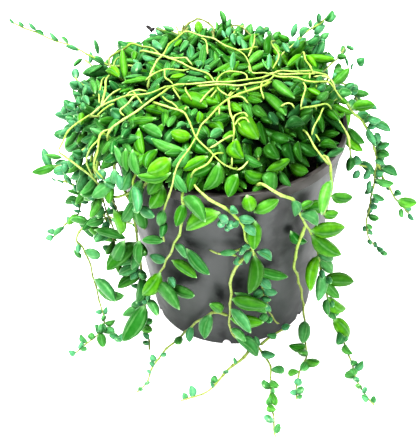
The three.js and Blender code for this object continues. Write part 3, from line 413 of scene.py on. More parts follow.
# Thin runners, bare twigs and petioles that are too fine for the solids, as x, y, z, or x, y
FINE_RUNNERS: list[Branch] = [
    fine(0.9, 0.8, (41, 28, 150), (42, 20, 156), (42.8, 12.5, 156), (44.4, 3.5, 156), (46, 1, 153)),
    fine(0.7, 0.6, (-70, -22, 148), (-80, -33, 146), (-84, -35, 140), (-86.5, -35.7, 135), (-84, -35.4, 131),
         (-79.3, -36, 127), (-74, -36, 121), (-68, -38, 114)),
    fine(0.8, 0.6, (-58, -31, 145), (-64.8, -34, 143), (-67, -34, 134.5), (-70.5, -34, 121.5),
         (-68, -36, 115)),
    fine(0.7, 0.5, (-64, -36, 142), (-70, -36, 137), (-72.3, -35, 132.5), (-73.3, -35, 126.5),
         (-71, -36, 117)),
    fine(0.7, 0.5, (-2, -52, 142), (-7, -56, 145), (-11, -60, 142), (-17, -62, 139), (-20, -60, 131)),
    # Top
    fine(0.95, 0.8, (-47, 26, 155), (-45.6, 24), (-40, 21), (-30.5, 15.5), (-20.5, 6), (-14, 1), (-9, -4),
         (-5.5, -9.5, 156)),
    fine(0.6, 0.5, (-33, 18, 157), (-30, 16), (-25, 14.7), (-22, 14.5), (-20.5, 12), (-17.5, 10.5, 155)),
    fine(0.75, 0.7, (-43, -3.5, 155), (-40, -1.5, 157.5), (-37, 0.5), (-33, 2.5), (-28, 3), (-23, 2.5),
         (-19, 5, 157)),
    fine(0.75, 0.7, (-33.5, 5, 156), (-32.7, 1.4), (-31.8, -4.5), (-29.5, -7.7), (-27.5, -11, 157)),
    fine(0.55, 0.45, (-60, 8, 155), (-59.5, 12.7), (-57.6, 17.2), (-55, 20, 156), brown=(0.6, 0.6)),
    fine(1.7, 1.2, (-45, 53), (-43, 49.5), (-41.5, 45.5), (-40.5, 49), (-40, 50), brown=(2.0, 2.0)),
    fine(0.5, 0.5, (-40, 50), (-37, 48), (-33, 47, 157), brown=(1.2, 0.8)),
    fine(1.05, 0.9, (-24, 44, 157), (-22, 51.5), (-20, 55), (-17.3, 57.5), (-15.5, 60), (-12.3, 57),
         (-9.5, 52.5), (-7, 48), (-6, 45, 156), brown=(1.0, 0.9)),
    fine(0.9, 0.4, (-25, 42, 157), (-24, 49), (-24, 53), brown=(0.6, 1.5)),
    fine(0.8, 0.4, (-25, 42, 157), (-27, 47), (-28.5, 51), brown=(0.6, 1.2)),
    fine(0.8, 0.4, (-25, 42, 157), (-22, 46), (-20.5, 50), brown=(0.6, 1.0)),
    fine(0.8, 0.4, (-25, 42, 157), (-29, 43), (-31, 45), brown=(0.6, 1.0)),
    fine(1.1, 1.0, (-8.5, 43.5), (-7, 40, 158.5), (-6.7, 36, 157), brown=(1.3, 1.0)),
    fine(0.6, 0.5, (-14, 38.5, 157), (-11.5, 33), (-10.2, 27.5), (-9.8, 21, 156)),
    fine(0.8, 0.7, (3, 47, 157), (4, 50), (7.5, 49.7), (10, 46.7), (12.3, 41.5), (14.2, 37),
         (15.7, 31.5, 157), brown=(0.9, 0.9)),
    fine(0.7, 0.5, (11.5, 16.5, 156), (13.5, 20), (14.6, 25.5), (15.5, 31), (16.5, 38, 159),
         brown=(0.0, 0.6)),
    fine(0.8, 0.7, (4, 23.5, 157), (8.6, 22), (12.7, 22), (15.3, 24.2), (18, 26.5, 157)),
    fine(0.7, 0.6, (-5.5, -10, 157), (-4.5, -7.3), (-1.7, -2), (0.5, -0.7), (5, -1), (8, -2), (10, -4),
         (10.5, -9, 157)),
    fine(0.75, 0.6, (11.5, 7, 156), (11.8, 3), (12.5, -1), (14.3, -2.2), (20, -2.5, 157.5), (23, -4, 157)),
    fine(0.5, 0.5, (24, 2, 157), (28, 14, 157), (27, 24, 157), (25, 32, 157), (28, 31.5, 157),
         brown=(0.0, 1.2)),
    # Along the main runners
    fine(0.9, 0.8, (-16, -12.5, 157.5), (-5, -13, 157.5), (1.5, -12, 157), (6.3, -12.8, 157),
         (11.6, -12.2, 157), (17, -10.5, 157), (21.8, -8, 157), (25, -4, 157)),
    fine(0.7, 0.5, (-64, -21, 152), (-62, -17.8, 153.5), (-60.2, -15.3, 154.5), (-58, -13.6, 155.5),
         (-54, -11, 156)),
    fine(1.1, 0.9, (-64, -22, 151.5), (-63.6, -11, 153), (-63.5, -3.6, 153), (-63.7, 4, 153),
         (-62.5, 11, 151)),
    fine(0.7, 0.6, (-66, -18, 151), (-66.3, -8, 152), (-66.3, 4, 152), (-65, 11, 150)),
    fine(0.8, 0.6, (-67.5, -24, 148), (-63, -23, 151), (-57, -22.5, 154)),
    fine(0.75, 0.6, (-40, -16.5, 157), (-45, -16.3, 157.5), (-49.6, -16.8, 157), (-51, -18.5, 156.8),
         (-53, -20.5, 156)),
    fine(0.6, 0.5, (-49, -17, 157), (-47.5, -17.8), (-46.3, -20.4), (-44.8, -24), (-42.6, -27.6, 156)),
    fine(0.65, 0.55, (-44.6, -20.8, 157.5), (-46.8, -23, 157.8), (-49.8, -26.5, 156.5), (-52, -28.4, 156),
         (-54, -29.4, 155), (-53.8, -31, 154.5), (-51, -32.5, 152.5)),
    fine(0.6, 0.5, (-33, -20, 157), (-30.5, -25, 156.5), (-27, -28, 156), (-24, -30, 154)),
    fine(0.5, 0.5, (-20, -29, 156), (-21.5, -33.5, 156)),
    fine(0.6, 0.5, (-21, -12, 157), (-21, -17, 157), (-18, -21, 153)),
    fine(0.75, 0.6, (-28, -12, 157), (-27.3, -16, 157), (-23.5, -21, 154)),
    fine(0.6, 0.5, (-5, -12.5, 157), (-4, -17, 157), (-2, -20, 156.5), (1, -22, 156)),
    fine(0.6, 0.5, (-14, -24.5, 154), (-11, -20, 156), (-6.5, -13, 156.5)),
    fine(0.5, 0.45, (-9, -21.5, 155), (-6.8, -18.4, 156), (-4.5, -15, 156.5)),
    fine(0.45, 0.4, (-4, -29.5, 155), (-4, -31.5, 155.5), (-4.5, -36, 154)),
    fine(0.5, 0.45, (0.5, -22, 156), (2, -17.6, 156), (4.3, -13.5, 156)),
    fine(0.6, 0.5, (1, -22.3, 156), (3.7, -17, 156), (6.5, -13.5, 156)),
    fine(0.55, 0.5, (1.5, -23.5, 156), (4.5, -22, 156), (8, -22.5, 156), (11, -26, 154)),
    fine(0.9, 0.7, (23, -6, 156), (19.2, -8.5, 156), (18, -11.6, 156), (17.3, -16, 156), (18.5, -21, 153)),
    fine(0.55, 0.5, (9.2, -10, 156), (9.3, -14, 156), (10.5, -18, 154)),
    fine(0.65, 0.5, (2.8, -40, 152), (3.4, -36.8, 154), (6, -34.3, 154), (8.4, -34, 154),
         (10.2, -36.5, 152)),
    fine(0.65, 0.5, (2.8, -42, 151.5), (5.7, -38.5, 153.5), (8.8, -38, 153.5), (11, -41, 151)),
    fine(0.6, 0.5, (26, -26, 152), (29.5, -26.2, 154), (32, -26.8, 154), (33.5, -29.5, 152)),
    fine(0.5, 0.45, (39.3, -7, 155), (40.2, -12, 154), (39.3, -17, 153), (37, -25, 150)),
    fine(0.9, 0.8, (35, -23, 144), (36.7, -22, 147), (43.2, -20, 147.5), (51.3, -17, 147), (54, -17, 143)),
    fine(0.7, 0.6, (50, -15, 143), (49.8, -17, 145), (46.7, -25.5, 144.5), (43.5, -33, 144), (42, -36, 140)),
    fine(0.9, 0.7, (23, -3, 157), (26, -3, 156), (30, -3.7, 156), (34, -4.6, 156), (37, -6.3, 156),
         (40.2, -8.4, 156), (44.2, -9, 156), (49, -6.5, 154), (53, -6.2, 153), (56, -7, 150), (61, -9, 144)),
    fine(0.7, 0.6, (43.5, 3, 154), (43.3, -5, 155)),
    fine(0.7, 0.5, (45, -1, 154), (50, -0.5, 154), (54, -3, 153), (57, -7, 149)),
    # Front
    fine(0.8, 0.9, (-63, -42, 109), (-57, -46, 113), (-51, -49, 117), (-45, -52, 122), (-40, -52, 128),
         brown=(0.6, 0.2)),
    fine(0.5, 0.3, (3, -37, 151), (6, -41, 151), (8, -44, 149)),
    fine(0.7, 0.6, (-10, -54, 147), (-4, -51, 149), (3, -46, 149)),
    fine(0.9, 0.9, (15, -47, 142), (14, -55, 136)),
    fine(0.55, 0.35, (3, -60, 138), (6, -59, 139), (10, -56, 141)),
    fine(0.75, 0.9, (36, -29, 141), (40, -36, 141), (44, -42, 137), (48, -46, 132), (51, -46, 129)),
    fine(0.6, 0.3, (44, -29, 137), (47, -34, 135)),
    fine(1.0, 0.7, (54, -4, 134), (58, -12, 135), (62, -21, 131), (64, -25, 124)),
]

# Young side shoots with small bluish leaves, as x, y, z
SPRIG_ROUTES: list[list[Numbers]] = [
    [(-70, 4, 140), (-76, 8, 145), (-82, 12, 150)],
    [(-72, -2, 138), (-80, -2, 141), (-87, -4, 142)],
    [(-70, 12, 138), (-78, 16, 141), (-84, 17, 141)],
    [(-72, -8, 136), (-80, -12, 136), (-86, -16, 132)],
    [(-70, -18, 138), (-73, -20, 146), (-76, -22, 150)],
    [(-73, -20, 128), (-79, -26, 126), (-86, -31, 120)],
    [(40, 32, 146), (48, 38, 149), (55, 42, 151)],
    [(48, 26, 144), (58, 30, 146), (67, 32, 148)],
    [(56, 20, 140), (65, 25, 144), (73, 28, 147)],
    [(2, 44, 152), (6, 47, 156), (11, 49, 159)],
    [(12, 42, 152), (17, 46, 155), (23, 47, 157)],
    [(46, -17, 143), (47, -10, 148), (47, -3, 151)],
    [(52, -8, 140), (59, -4, 143), (65, 0, 145)],
]

# Crown leaves that show from the front: root and tip as x, y, z, then girth, freshness and bloom in
# hundredths.
SHOWN_LEAVES: list[Shown] = [
    # Top left
    ((-54, 5, 150), (-54, 14.5, 165), 80, 65, 10), ((-32.5, 48, 152), (-48.8, 46, 152), 80, 30, 30),
    ((-35.3, 32, 154), (-40.8, 42, 154), 80, 50, 85),
    ((-28.5, 47, 158), (-36, 49.5, 158), 95, 70, 70),
    ((-38.8, 21, 154), (-45.8, 24.5, 154), 95, 50, 80),
    ((-50.8, 26.5, 156), (-49.3, 16.5, 156), 80, 40, 0),
    ((-47.5, 14, 152), (-49.5, 8, 157), 180, 30, 70),
    ((-47.5, 15, 154.5), (-48, 15.5, 158), 100, 50, 90),
    ((-45, 6.7, 153), (-54.5, 3.6, 153), 60, 40, 40), ((-56, 2, 151), (-40, 3, 152), 65, 60, 10),
    ((-65, 12, 153), (-56, 2.5, 154), 90, 100, 0), ((-40, -4, 150), (-33, 5, 152), 90, 30, 50),
    ((-21.5, 3, 155), (-29.5, -3, 155), 75, 90, 0),
    ((-21.5, 5.5, 155), (-7.5, -0.5, 155), 70, 30, 45),
    ((-20.5, -5.7, 156), (-10.5, -6.2, 156), 65, 50, 50),
    ((-28.5, 14, 154), (-25, 9.5, 155), 90, 50, 70), ((-17, 19, 153), (-15, 11, 154), 90, 40, 70),
    ((-9.5, 13, 154), (-8.5, 5.5, 155), 80, 50, 60),
    ((-24.6, 42, 155), (-27.3, 30, 155), 75, 75, 0), ((-23, 42.5, 153), (-25, 29, 153), 80, 40, 50),
    ((-20.5, 40.5, 152), (-19.5, 24.5, 152), 75, 30, 70),
    ((-12.5, 30.5, 153), (-16, 36, 153), 90, 50, 70),
    ((-11.5, 38, 154), (-14, 10.5, 154), 45, 55, 30),
    ((-14.5, 44.7, 156), (-15.3, 50, 163), 100, 100, 5),
    ((-5, 45, 157.5), (-5.7, 50, 160.5), 75, 35, 20),
    ((0, 52.6, 157), (-3.2, 55, 165), 80, 55, 45), ((1.2, 48, 157), (3.7, 50.5, 162), 80, 90, 70),
    ((1.5, 38.8, 156.5), (2.8, 44.5, 160), 80, 50, 85),
    ((0, 38.8, 156.5), (-2.7, 42.2, 159), 90, 50, 100), ((5, 33, 155), (3.8, 41, 157.5), 90, 40, 80),
    ((7.5, 32, 155), (8.3, 40, 157.5), 90, 30, 80), ((10, 27, 155), (8, 35, 156.5), 90, 50, 70),
    ((2.5, 16, 154), (-7.5, 5, 154), 60, 60, 10), ((3, 4, 156), (3.2, 15, 160), 60, 60, 75),
    # Left edge
    ((-77, 5, 146), (-79.5, 8, 150), 80, 30, 80), ((-77.5, -0.5, 146), (-82.5, 0.3, 146), 65, 10, 70),
    ((-77, -8.4, 146), (-80, -5.4, 146), 70, 0, 50),
    ((-71.5, -15, 149), (-75.4, -8.7, 149), 90, 40, 80),
    ((-75.7, -7, 149), (-73.3, -1.7, 152), 85, 60, 70),
    ((-73.5, -15, 147), (-77, -11.7, 147), 120, 10, 50), ((-80, -10, 143), (-84, -7, 143), 130, 30, 90),
    ((-79.5, -17, 140), (-83, -15, 140), 130, 10, 90), ((-77, -18, 145), (-71, -27, 146), 110, 60, 0),
    ((-68.5, -9, 152), (-69, 2.4, 152), 90, 50, 30),
    # Left and middle
    ((-25, -13, 151), (-9.5, -24, 151), 110, 55, 0), ((-19, -16.5, 153), (-4, -22, 153), 80, 65, 0),
    ((-45, -14, 151), (-47.5, -22, 151), 90, 40, 80),
    ((-55.5, -18, 147), (-58.5, -21, 150.5), 190, 20, 85),
    ((-50.5, -5, 152), (-54.8, -11, 152), 90, 40, 0), ((-43, -20, 149), (-31, -27, 150), 80, 60, 0),
    ((-33.5, -21, 149), (-31.5, -35, 147), 80, 50, 10),
    ((-26, -28, 150), (-29.5, -37, 147), 85, 55, 30),
    ((-36, -29, 149), (-51, -28, 147), 70, 65, 10), ((-15, -35, 149), (-14, -30, 152.5), 110, 85, 0),
    ((-16, -26, 152), (-18.5, -32, 151.5), 95, 40, 30),
    ((-20.3, -36, 149.5), (-26, -39.5, 149.5), 70, 60, 60),
    ((-2.5, -40, 148.5), (-10.7, -44.5, 147), 100, 40, 60),
    ((-6.5, -48, 148), (-9.5, -51.5, 146), 150, 50, 40),
    ((1, -30.5, 150), (-8.5, -34, 150), 100, 30, 10), ((-43, -33, 147), (-29, -42, 147), 95, 45, 30),
    ((-18, -43.5, 147), (-28.5, -41.5, 149), 130, 85, 0),
    ((-21, -51, 144), (-38, -42, 146), 80, 50, 25), ((-45, -33, 146), (-41, -46, 138), 105, 50, 0),
    ((-35, -46, 142), (-40, -56, 136), 110, 35, 0), ((-28, -57, 144), (-40, -60, 138), 155, 90, 0),
    ((-28, -62, 139), (-45, -60, 137), 85, 65, 10), ((-47, -50, 145), (-43, -57, 134), 95, 45, 30),
    ((-51, -46, 143), (-49, -52, 133), 90, 40, 20), ((-57, -42, 142), (-53, -48, 133), 80, 40, 35),
    ((-60, -42, 123), (-62, -47, 123), 200, 30, 80), ((-57, -45, 127), (-55, -49, 119), 120, 50, 100),
    ((-62, -42, 119), (-60, -47, 109), 130, 50, 10), ((-33, -59, 136), (-41, -62, 125), 110, 35, 0),
    ((-27, -62, 139), (-20, -65, 130), 100, 35, 45), ((-5, -60, 143), (-13, -64, 130), 110, 40, 10),
    ((-10, -56, 144), (-23, -60, 138), 90, 80, 0), ((-7, -57, 140), (-19, -62, 136), 110, 15, 0),
    ((-20, -52, 146), (-28, -58, 140), 110, 30, 30),
    # Right and middle
    ((2.3, -20, 152), (7, -30, 150), 100, 85, 0), ((8.3, -19.5, 152), (12.8, -31, 150), 90, 50, 25),
    ((10.3, -15, 152), (17.7, -23.5, 151), 100, 45, 0),
    ((17.5, -11, 152), (28.7, -31.5, 148.5), 85, 50, 10),
    ((24.3, -1.5, 153), (32.5, -21, 150), 95, 60, 20),
    ((29.5, -4.4, 153), (38.5, -8, 152), 70, 40, 70), ((39.3, -12, 152), (33, -17, 152), 85, 15, 10),
    ((41, -9, 152), (48.5, -15.5, 150), 95, 75, 0),
    ((39.3, -18.5, 146), (40.6, -15.4, 150.5), 90, 50, 100),
    ((43, -17.5, 146), (46.8, -16, 150.5), 90, 50, 100),
    ((29.5, -30.3, 148), (36, -21, 150), 85, 30, 60),
    ((25, -36, 148), (20.3, -30.5, 148), 135, 10, 80), ((44, -18, 141), (43, -30, 131), 90, 30, 60),
    ((8, -28.5, 151), (13.5, -46.5, 142.5), 135, 95, 0),
    ((14.5, -22, 151), (20, -33, 148), 110, 50, 10), ((18, -28, 149), (19, -38, 146), 120, 40, 0),
    ((16, -31, 147), (17, -46, 140), 95, 30, 0), ((4, -46, 147), (7, -55, 140), 145, 100, 0),
    ((2.5, -39, 147), (-3.5, -44.5, 146.5), 135, 80, 0),
    ((21, -38, 144), (31, -43, 142), 135, 25, 0),
    ((28.3, -36.5, 146), (38.4, -33, 146), 120, 45, 50), ((20, -46, 144), (23, -55, 138), 150, 30, 0),
    ((30, -42, 142), (31, -51, 134), 130, 25, 0), ((35, -41, 141), (35, -50, 134), 100, 35, 0),
    ((35, -36, 137), (43, -42, 129), 130, 30, 0), ((18, -56, 134), (31, -53, 138), 90, 75, 0),
    ((18, -57, 132), (7, -57, 136), 135, 50, 0), ((30, -47, 131), (40, -48, 128), 135, 60, 0),
    ((22, -54, 133), (19, -60, 125), 180, 40, 20), ((25, -53, 132), (30, -56, 124), 90, 30, 20),
    ((4, -59, 135), (-3, -63, 126), 140, 35, 0), ((18, -57, 127), (10, -60, 122), 110, 40, 10),
    ((46, -33, 132), (56, -33, 131), 100, 30, 0), ((50, -36, 126), (58, -28, 129), 90, 30, 50),
    ((47, -33, 129), (46, -40, 127), 190, 30, 80),
    # Top right
    ((44.2, 28, 150), (58.5, 20, 146.4), 100, 75, 0), ((44, 28, 150.5), (50.5, 20, 147), 90, 100, 0),
    ((42.3, 28, 151), (33.5, 18, 149), 80, 80, 0), ((20.5, 24, 156), (12, 12.5, 156), 80, 70, 20),
    ((22, 2, 157), (21.7, 9.8, 162), 70, 90, 90), ((22, 2, 157), (17.6, 7, 160), 50, 95, 50),
    ((28, 9, 155), (26.5, 20, 155), 75, 20, 80), ((34, 24, 155), (30.5, 33, 155), 90, 50, 85),
    ((29, 23.5, 155), (27, 32.5, 156), 80, 90, 10), ((35.8, 36, 156), (28.5, 38.5, 156), 135, 20, 0),
    ((36.5, 35.3, 157), (38.8, 41, 163.6), 100, 35, 85), ((58, 13, 140), (66, 21, 147), 130, 45, 10),
    ((36.4, 30, 153.8), (39.4, 30, 159.5), 85, 30, 100),
    ((40.7, 30, 160), (45.6, 30, 165.6), 95, 40, 75),
    ((46.6, 30, 165.6), (45, 30, 170.4), 85, 40, 80),
    ((50, 30, 168.6), (51.3, 30, 174.8), 85, 20, 80),
    ((53.8, 30, 169.4), (57.3, 30, 176.2), 120, 50, 70),
    ((57, 30, 170.4), (59.3, 30, 173.2), 85, 10, 70),
    ((47.9, 30, 162.2), (55.2, 30, 165), 125, 50, 90),
    ((47.6, 31, 163.6), (54, 31, 168.4), 90, 50, 85),
    ((44.4, 29, 156.2), (51.3, 29, 161), 100, 10, 35), ((48, 29, 148), (49.5, 29, 156.5), 65, 30, 80),
    ((49, 30, 148), (55, 30, 157.3), 115, 60, 80), ((53.2, 29, 149), (60.5, 29, 147), 80, 20, 75),
    ((68, 28, 142), (66.5, 30, 148), 55, 40, 90), ((70, 29, 139), (70.5, 29, 144), 45, 60, 90),
    # Upper left sprig
    ((-66, 19.5, 152), (-73.5, 19.5, 157), 75, 20, 50),
    ((-69, 20, 158), (-69.7, 20, 168), 62, 20, 55),
    ((-79, 20, 161), (-86.5, 20, 163.7), 70, 30, 75),
    ((-84.3, 20, 165.4), (-87.5, 20, 170), 62, 95, 70),
    ((-89, 20, 167.5), (-92.8, 20, 173), 62, 30, 70),
    ((-96.3, 20, 170.5), (-100.7, 20, 174), 60, 40, 75),
    ((-100, 20, 173.7), (-102.5, 20, 179), 65, 40, 85),
    ((-106, 20, 176.3), (-108, 20, 179.8), 65, 50, 80),
    ((-110.8, 20, 177.8), (-113.5, 20, 181), 55, 60, 80),
]

# Leaves that hang before the pot's wall: root and tip as turn, height and distance from the wall.
SHOWN_HANGING: dict[str, list[Shown]] = {
    "stem_front_left": [
        ((-117, 87, 4), (-112, 79, 4), 90, 40, 90), ((-112, 87, 4), (-99.5, 74, 7), 95, 15, 30),
        ((-122, 73, 4), (-107, 67, 6), 95, 70, 10), ((-127, 49, 4), (-107.5, 53, 6), 85, 50, 30),
        ((-126, 57, 5), (-119.5, 55, 8), 120, 40, 100), ((-136, 36, 5), (-123, 43, 6), 80, 50, 40),
    ],
    "stem_front_centre": [
        ((-94, 118, 5), (-109, 106, 5), 115, 95, 10), ((-83, 128, 3), (-81, 117, 6), 135, 60, 0),
        ((-80, 115, 3), (-69, 121, 5), 110, 55, 10), ((-87, 113, 4), (-80, 112, 7), 110, 30, 90),
        ((-95, 116, 6), (-90, 118, 8), 130, 30, 100), ((-90, 119, 6), (-86.5, 121, 8), 130, 30, 100),
        ((-85, 108, 4), (-79.5, 102, 7), 110, 40, 95), ((-79, 109, 3), (-80.5, 93, 5), 115, 50, 0),
        ((-87, 88, 4), (-96, 86.5, 5), 75, 50, 70), ((-83, 89, 4), (-88, 92, 6), 130, 30, 95),
        ((-87, 84, 4), (-85, 80, 6), 130, 30, 95), ((-78, 86, 4), (-71.5, 80, 7), 105, 40, 95),
        ((-78, 71, 3), (-60.5, 61, 5), 80, 20, 10), ((-76, 64, 5), (-71, 59, 7), 130, 30, 90),
        ((-74, 55, 5), (-66.5, 51, 6), 105, 30, 90), ((-73, 43, 5), (-69.5, 39, 7), 140, 30, 95),
        ((-89, 54, 4), (-71.5, 39, 7), 80, 45, 30), ((-103.5, 29, 4), (-106.5, 15, 5), 75, 30, 60),
    ],
    "stem_front_right": [
        ((-60.5, 94, 3), (-51, 82, 5), 85, 0, 0),
    ],
}

# Leaves that stand out at the sides, as x, y, z
SHOWN_BESIDE: dict[str, list[Shown]] = {
    "stem_right": [
        ((63.5, 8, 114), (74, 4, 99), 100, 75, 0), ((67, 8, 115.5), (75, 6, 103.5), 105, 20, 10),
        ((68, 10, 125), (65, 6, 116), 95, 70, 10), ((68.5, 10, 126.5), (81.5, 12, 130), 120, 70, 10),
        ((69.5, 6, 96.5), (71, 4, 87), 150, 10, 20), ((77.5, 8, 90.5), (70, 6, 90), 130, 30, 90),
        ((76, 8, 85), (71.5, 6, 81), 140, 30, 100), ((82, 8, 85), (77.5, 6, 80.5), 140, 30, 100),
        ((83, 8, 77.5), (80.5, 7, 70), 100, 30, 90), ((89, 10, 84.5), (98, 8, 79), 130, 10, 50),
        ((86, 8, 77.5), (96.5, 8, 73), 100, 70, 50), ((85, 8, 67), (90.5, 8, 60), 100, 20, 60),
        ((100.5, 9, 61), (110, 8, 55), 150, 80, 20), ((104, 9, 54.5), (102.5, 8, 48.5), 120, 60, 50),
        ((77.5, 10, 121), (85.5, 8, 118), 120, 30, 80), ((81.5, 10, 115.5), (91.5, 9, 110), 110, 30, 80),
        ((83, 10, 109.5), (87.5, 9, 104), 130, 30, 90),
        ((84.5, 10, 100.5), (92.5, 9, 99.5), 110, 20, 70), ((84.5, 10, 90), (90, 9, 87), 120, 30, 80),
    ],
    "stem_left_outer": [
        ((-95, -10, 107.5), (-109.5, -10, 102.7), 80, 50, 20),
        ((-89, -10, 110), (-96, -10, 107.8), 65, 10, 70),
        ((-91, -10, 112.5), (-100, -10, 115.3), 70, 70, 40),
        ((-88.5, -10, 93), (-91, -10, 99.3), 62, 30, 85),
        ((-93, -10, 94.5), (-95.5, -10, 98.3), 50, 30, 100),
        ((-97, -10, 96), (-99, -10, 99.3), 45, 90, 100),
        ((-84.5, -10, 86), (-91.7, -10, 90.7), 80, 30, 20),
        ((-81, -9, 79), (-86.3, -9, 84.8), 115, 10, 80),
        ((-85.7, -10, 76.5), (-90, -10, 82.3), 80, 30, 90),
        ((-85.5, -10, 74), (-90, -10, 75.5), 70, 40, 100),
        ((-92, -10, 68.5), (-94, -10, 65.5), 90, 30, 100),
        ((-97, -10, 63), (-99.5, -10, 62.5), 80, 50, 90),
        ((-102.5, -10, 58), (-106, -10, 60.6), 75, 20, 80),
        ((-106.5, -10, 53), (-110, -10, 54.6), 65, 90, 50),
    ],
    "stem_left": [
        ((-92, -19, 53), (-88, -19, 46.5), 100, 20, 30),
        ((-85.5, -18, 49), (-78.5, -18, 44.5), 95, 30, 40),
    ],
    "stem_left_front": [
        ((-61.5, -44, 103), (-58.5, -44, 86), 100, 75, 10),
        ((-47, -48, 115), (-57.5, -46, 95.5), 80, 30, 40),
        ((-57.5, -44, 81), (-68, -42, 59), 85, 15, 20),
        ((-49, -48, 84), (-49, -48, 68), 95, 20, 20), ((-35, -56, 90), (-46.5, -52, 90), 95, 30, 30),
    ],
    "stem_left_short": [
        ((-33, -58, 129), (-40, -60, 116), 130, 30, 0), ((-44, -51, 127), (-49, -52, 114), 110, 30, 30),
        ((-50, -46, 130), (-55, -48, 118), 110, 40, 60),
        ((-47.5, -50, 110.5), (-47, -50, 91.5), 105, 15, 10),
    ],
    "stem_left_inner": [
        ((-60.5, -44, 120.5), (-69, -42, 110), 120, 50, 50),
        ((-64, -42, 126.5), (-64.5, -42, 122), 170, 30, 100),
        ((-58, -44, 129), (-59.5, -44, 120), 125, 40, 80),
        ((-77.5, -36, 110), (-72, -36, 103), 120, 30, 90),
        ((-75, -36, 82), (-57, -40, 79), 80, 25, 20),
    ],
}

# Beads at the front, as turn, height, distance from the wall and radius
BEADS = ((-94, 111, 6, 2.1), (-90, 110.3, 6, 2.3), (-91.5, 106.5, 5, 1.5))

# Thin twigs of the hanging stems, as turn, height and distance from the wall
TWIGS: list[tuple[str, list[Numbers]]] = [
    ("stem_right", [(9, 126, 3.5), (7.5, 116, 3), (6.5, 106, 7), (6, 96, 10), (6, 90, 14), (6, 86, 22)]),
    ("stem_front_centre", [(-80.5, 87, 2), (-84, 88, 3), (-90, 88, 4), (-96, 86.5, 4), (-101, 88.5, 4)]),
    ("stem_front_centre",
     [(-79, 86, 2), (-75.5, 68, 3), (-71, 49, 3), (-68.5, 31, 3), (-62, 18, 4), (-60.5, 17.5, 5)]),
    ("stem_front_centre", [(-87, 84, 4), (-91, 85.5, 4), (-95, 86.5, 4)]),
]


@dataclass
class Place:
    """A point on a course, its distance from the start and the direction of travel."""

    point: Vector
    distance: float
    travel: Vector


class Course:
    """A smooth way through given points, with places about a millimetre apart."""

    PER_SPAN = 16

    def __init__(self, points: Sequence[Vector]) -> None:
        """Lays the course through the points."""
        spots = [
            self._spot(points, span, step / self.PER_SPAN)
            for span in range(len(points) - 1)
            for step in range(self.PER_SPAN)
        ]
        spots.append(points[-1].copy())
        self.places: list[Place] = []
        distance = 0.0
        for i, spot in enumerate(spots):
            if i:
                distance += (spot - spots[i - 1]).length
            travel = spots[min(i + 1, len(spots) - 1)] - spots[max(i - 1, 0)]
            self.places.append(Place(spot, distance, travel.normalized()))

    @staticmethod
    def _spot(points: Sequence[Vector], span: int, share: float) -> Vector:
        """Returns the point at a share of one span of a centripetal Catmull-Rom curve.

        Args:
            points: The points of the curve.
            span: The number of the span.
            share: How far along the span, from 0 to 1.

        Returns:
            The point.
        """
        b, c = points[span], points[span + 1]
        a = points[span - 1] if span else 2 * b - c
        d = points[span + 2] if span + 2 < len(points) else 2 * c - b
        gaps = [sqrt((q - p).length) for p, q in ((a, b), (b, c), (c, d))]
        near, middle, far = gaps
        start = ((b - a) / near - (c - a) / (near + middle) + (c - b) / middle) * middle
        end = ((c - b) / middle - (d - b) / (middle + far) + (d - c) / far) * middle
        square, cube = share * share, share**3
        return (
            b
            + start * share
            + (3 * (c - b) - 2 * start - end) * square
            + (2 * (b - c) + start + end) * cube
        )

    @property
    def length(self) -> float:
        """The whole length."""
        return self.places[-1].distance

    def at(self, distance: float) -> Place:
        """Returns the first place at or past a distance, or the last one."""
        return next((place for place in self.places if place.distance >= distance), self.places[-1])

    def stations(self, step: float) -> list[Place]:
        """Returns places about a step apart, with both ends."""
        count = max(2, round(self.length / step))
        return [self.at(self.length * i / count) for i in range(count + 1)]


@dataclass(frozen=True)
class Leaf:
    """A leaf: its root on the middle of the stem, its direction, its upper face and its length.

    Girth is its width as a share of the usual width. Tone is its freshness and bloom, if given.
    """

    root: Vector
    way: Vector
    face: Vector
    length: float
    girth: float = 1.0
    tone: Numbers = ()

    @property
    def tip(self) -> Vector:
        """Where the leaf ends."""
        return self.root + self.way * self.length

    @property
    def width(self) -> float:
        """The width at the middle, which grows more slowly than the length."""
        return (2.2 + 0.3 * self.length) * self.girth

    def balls(self) -> list[tuple[Vector, float, float]]:
        """Returns balls that stand for the leaf, as centre, radius and share of the length."""
        return [
            (self.root + self.way * self.length * s, self.width / 2 * (1 - (2 * s - 1) ** 2) ** 0.6, s)
            for s in (0.18, 0.36, 0.54, 0.72, 0.9)
        ]


def squared(out: Vector, way: Vector) -> Vector:
    """Returns the outward direction made square to a leaf's own direction."""
    return (out - way * out.dot(way)).normalized()


def shown_leaf(start: Vector, end: Vector, out: Vector, *hundredths: float) -> Leaf:
    """Returns a listed leaf.

    Args:
        start: Its root.
        end: Its tip.
        out: Where its upper face looks, more or less.
        hundredths: Its girth, freshness and bloom.

    Returns:
        The leaf.
    """
    girth, *tone = (value / 100 for value in hundredths)
    way = (end - start).normalized()
    return Leaf(start, way, squared(out, way), (end - start).length, girth, tuple(tone))


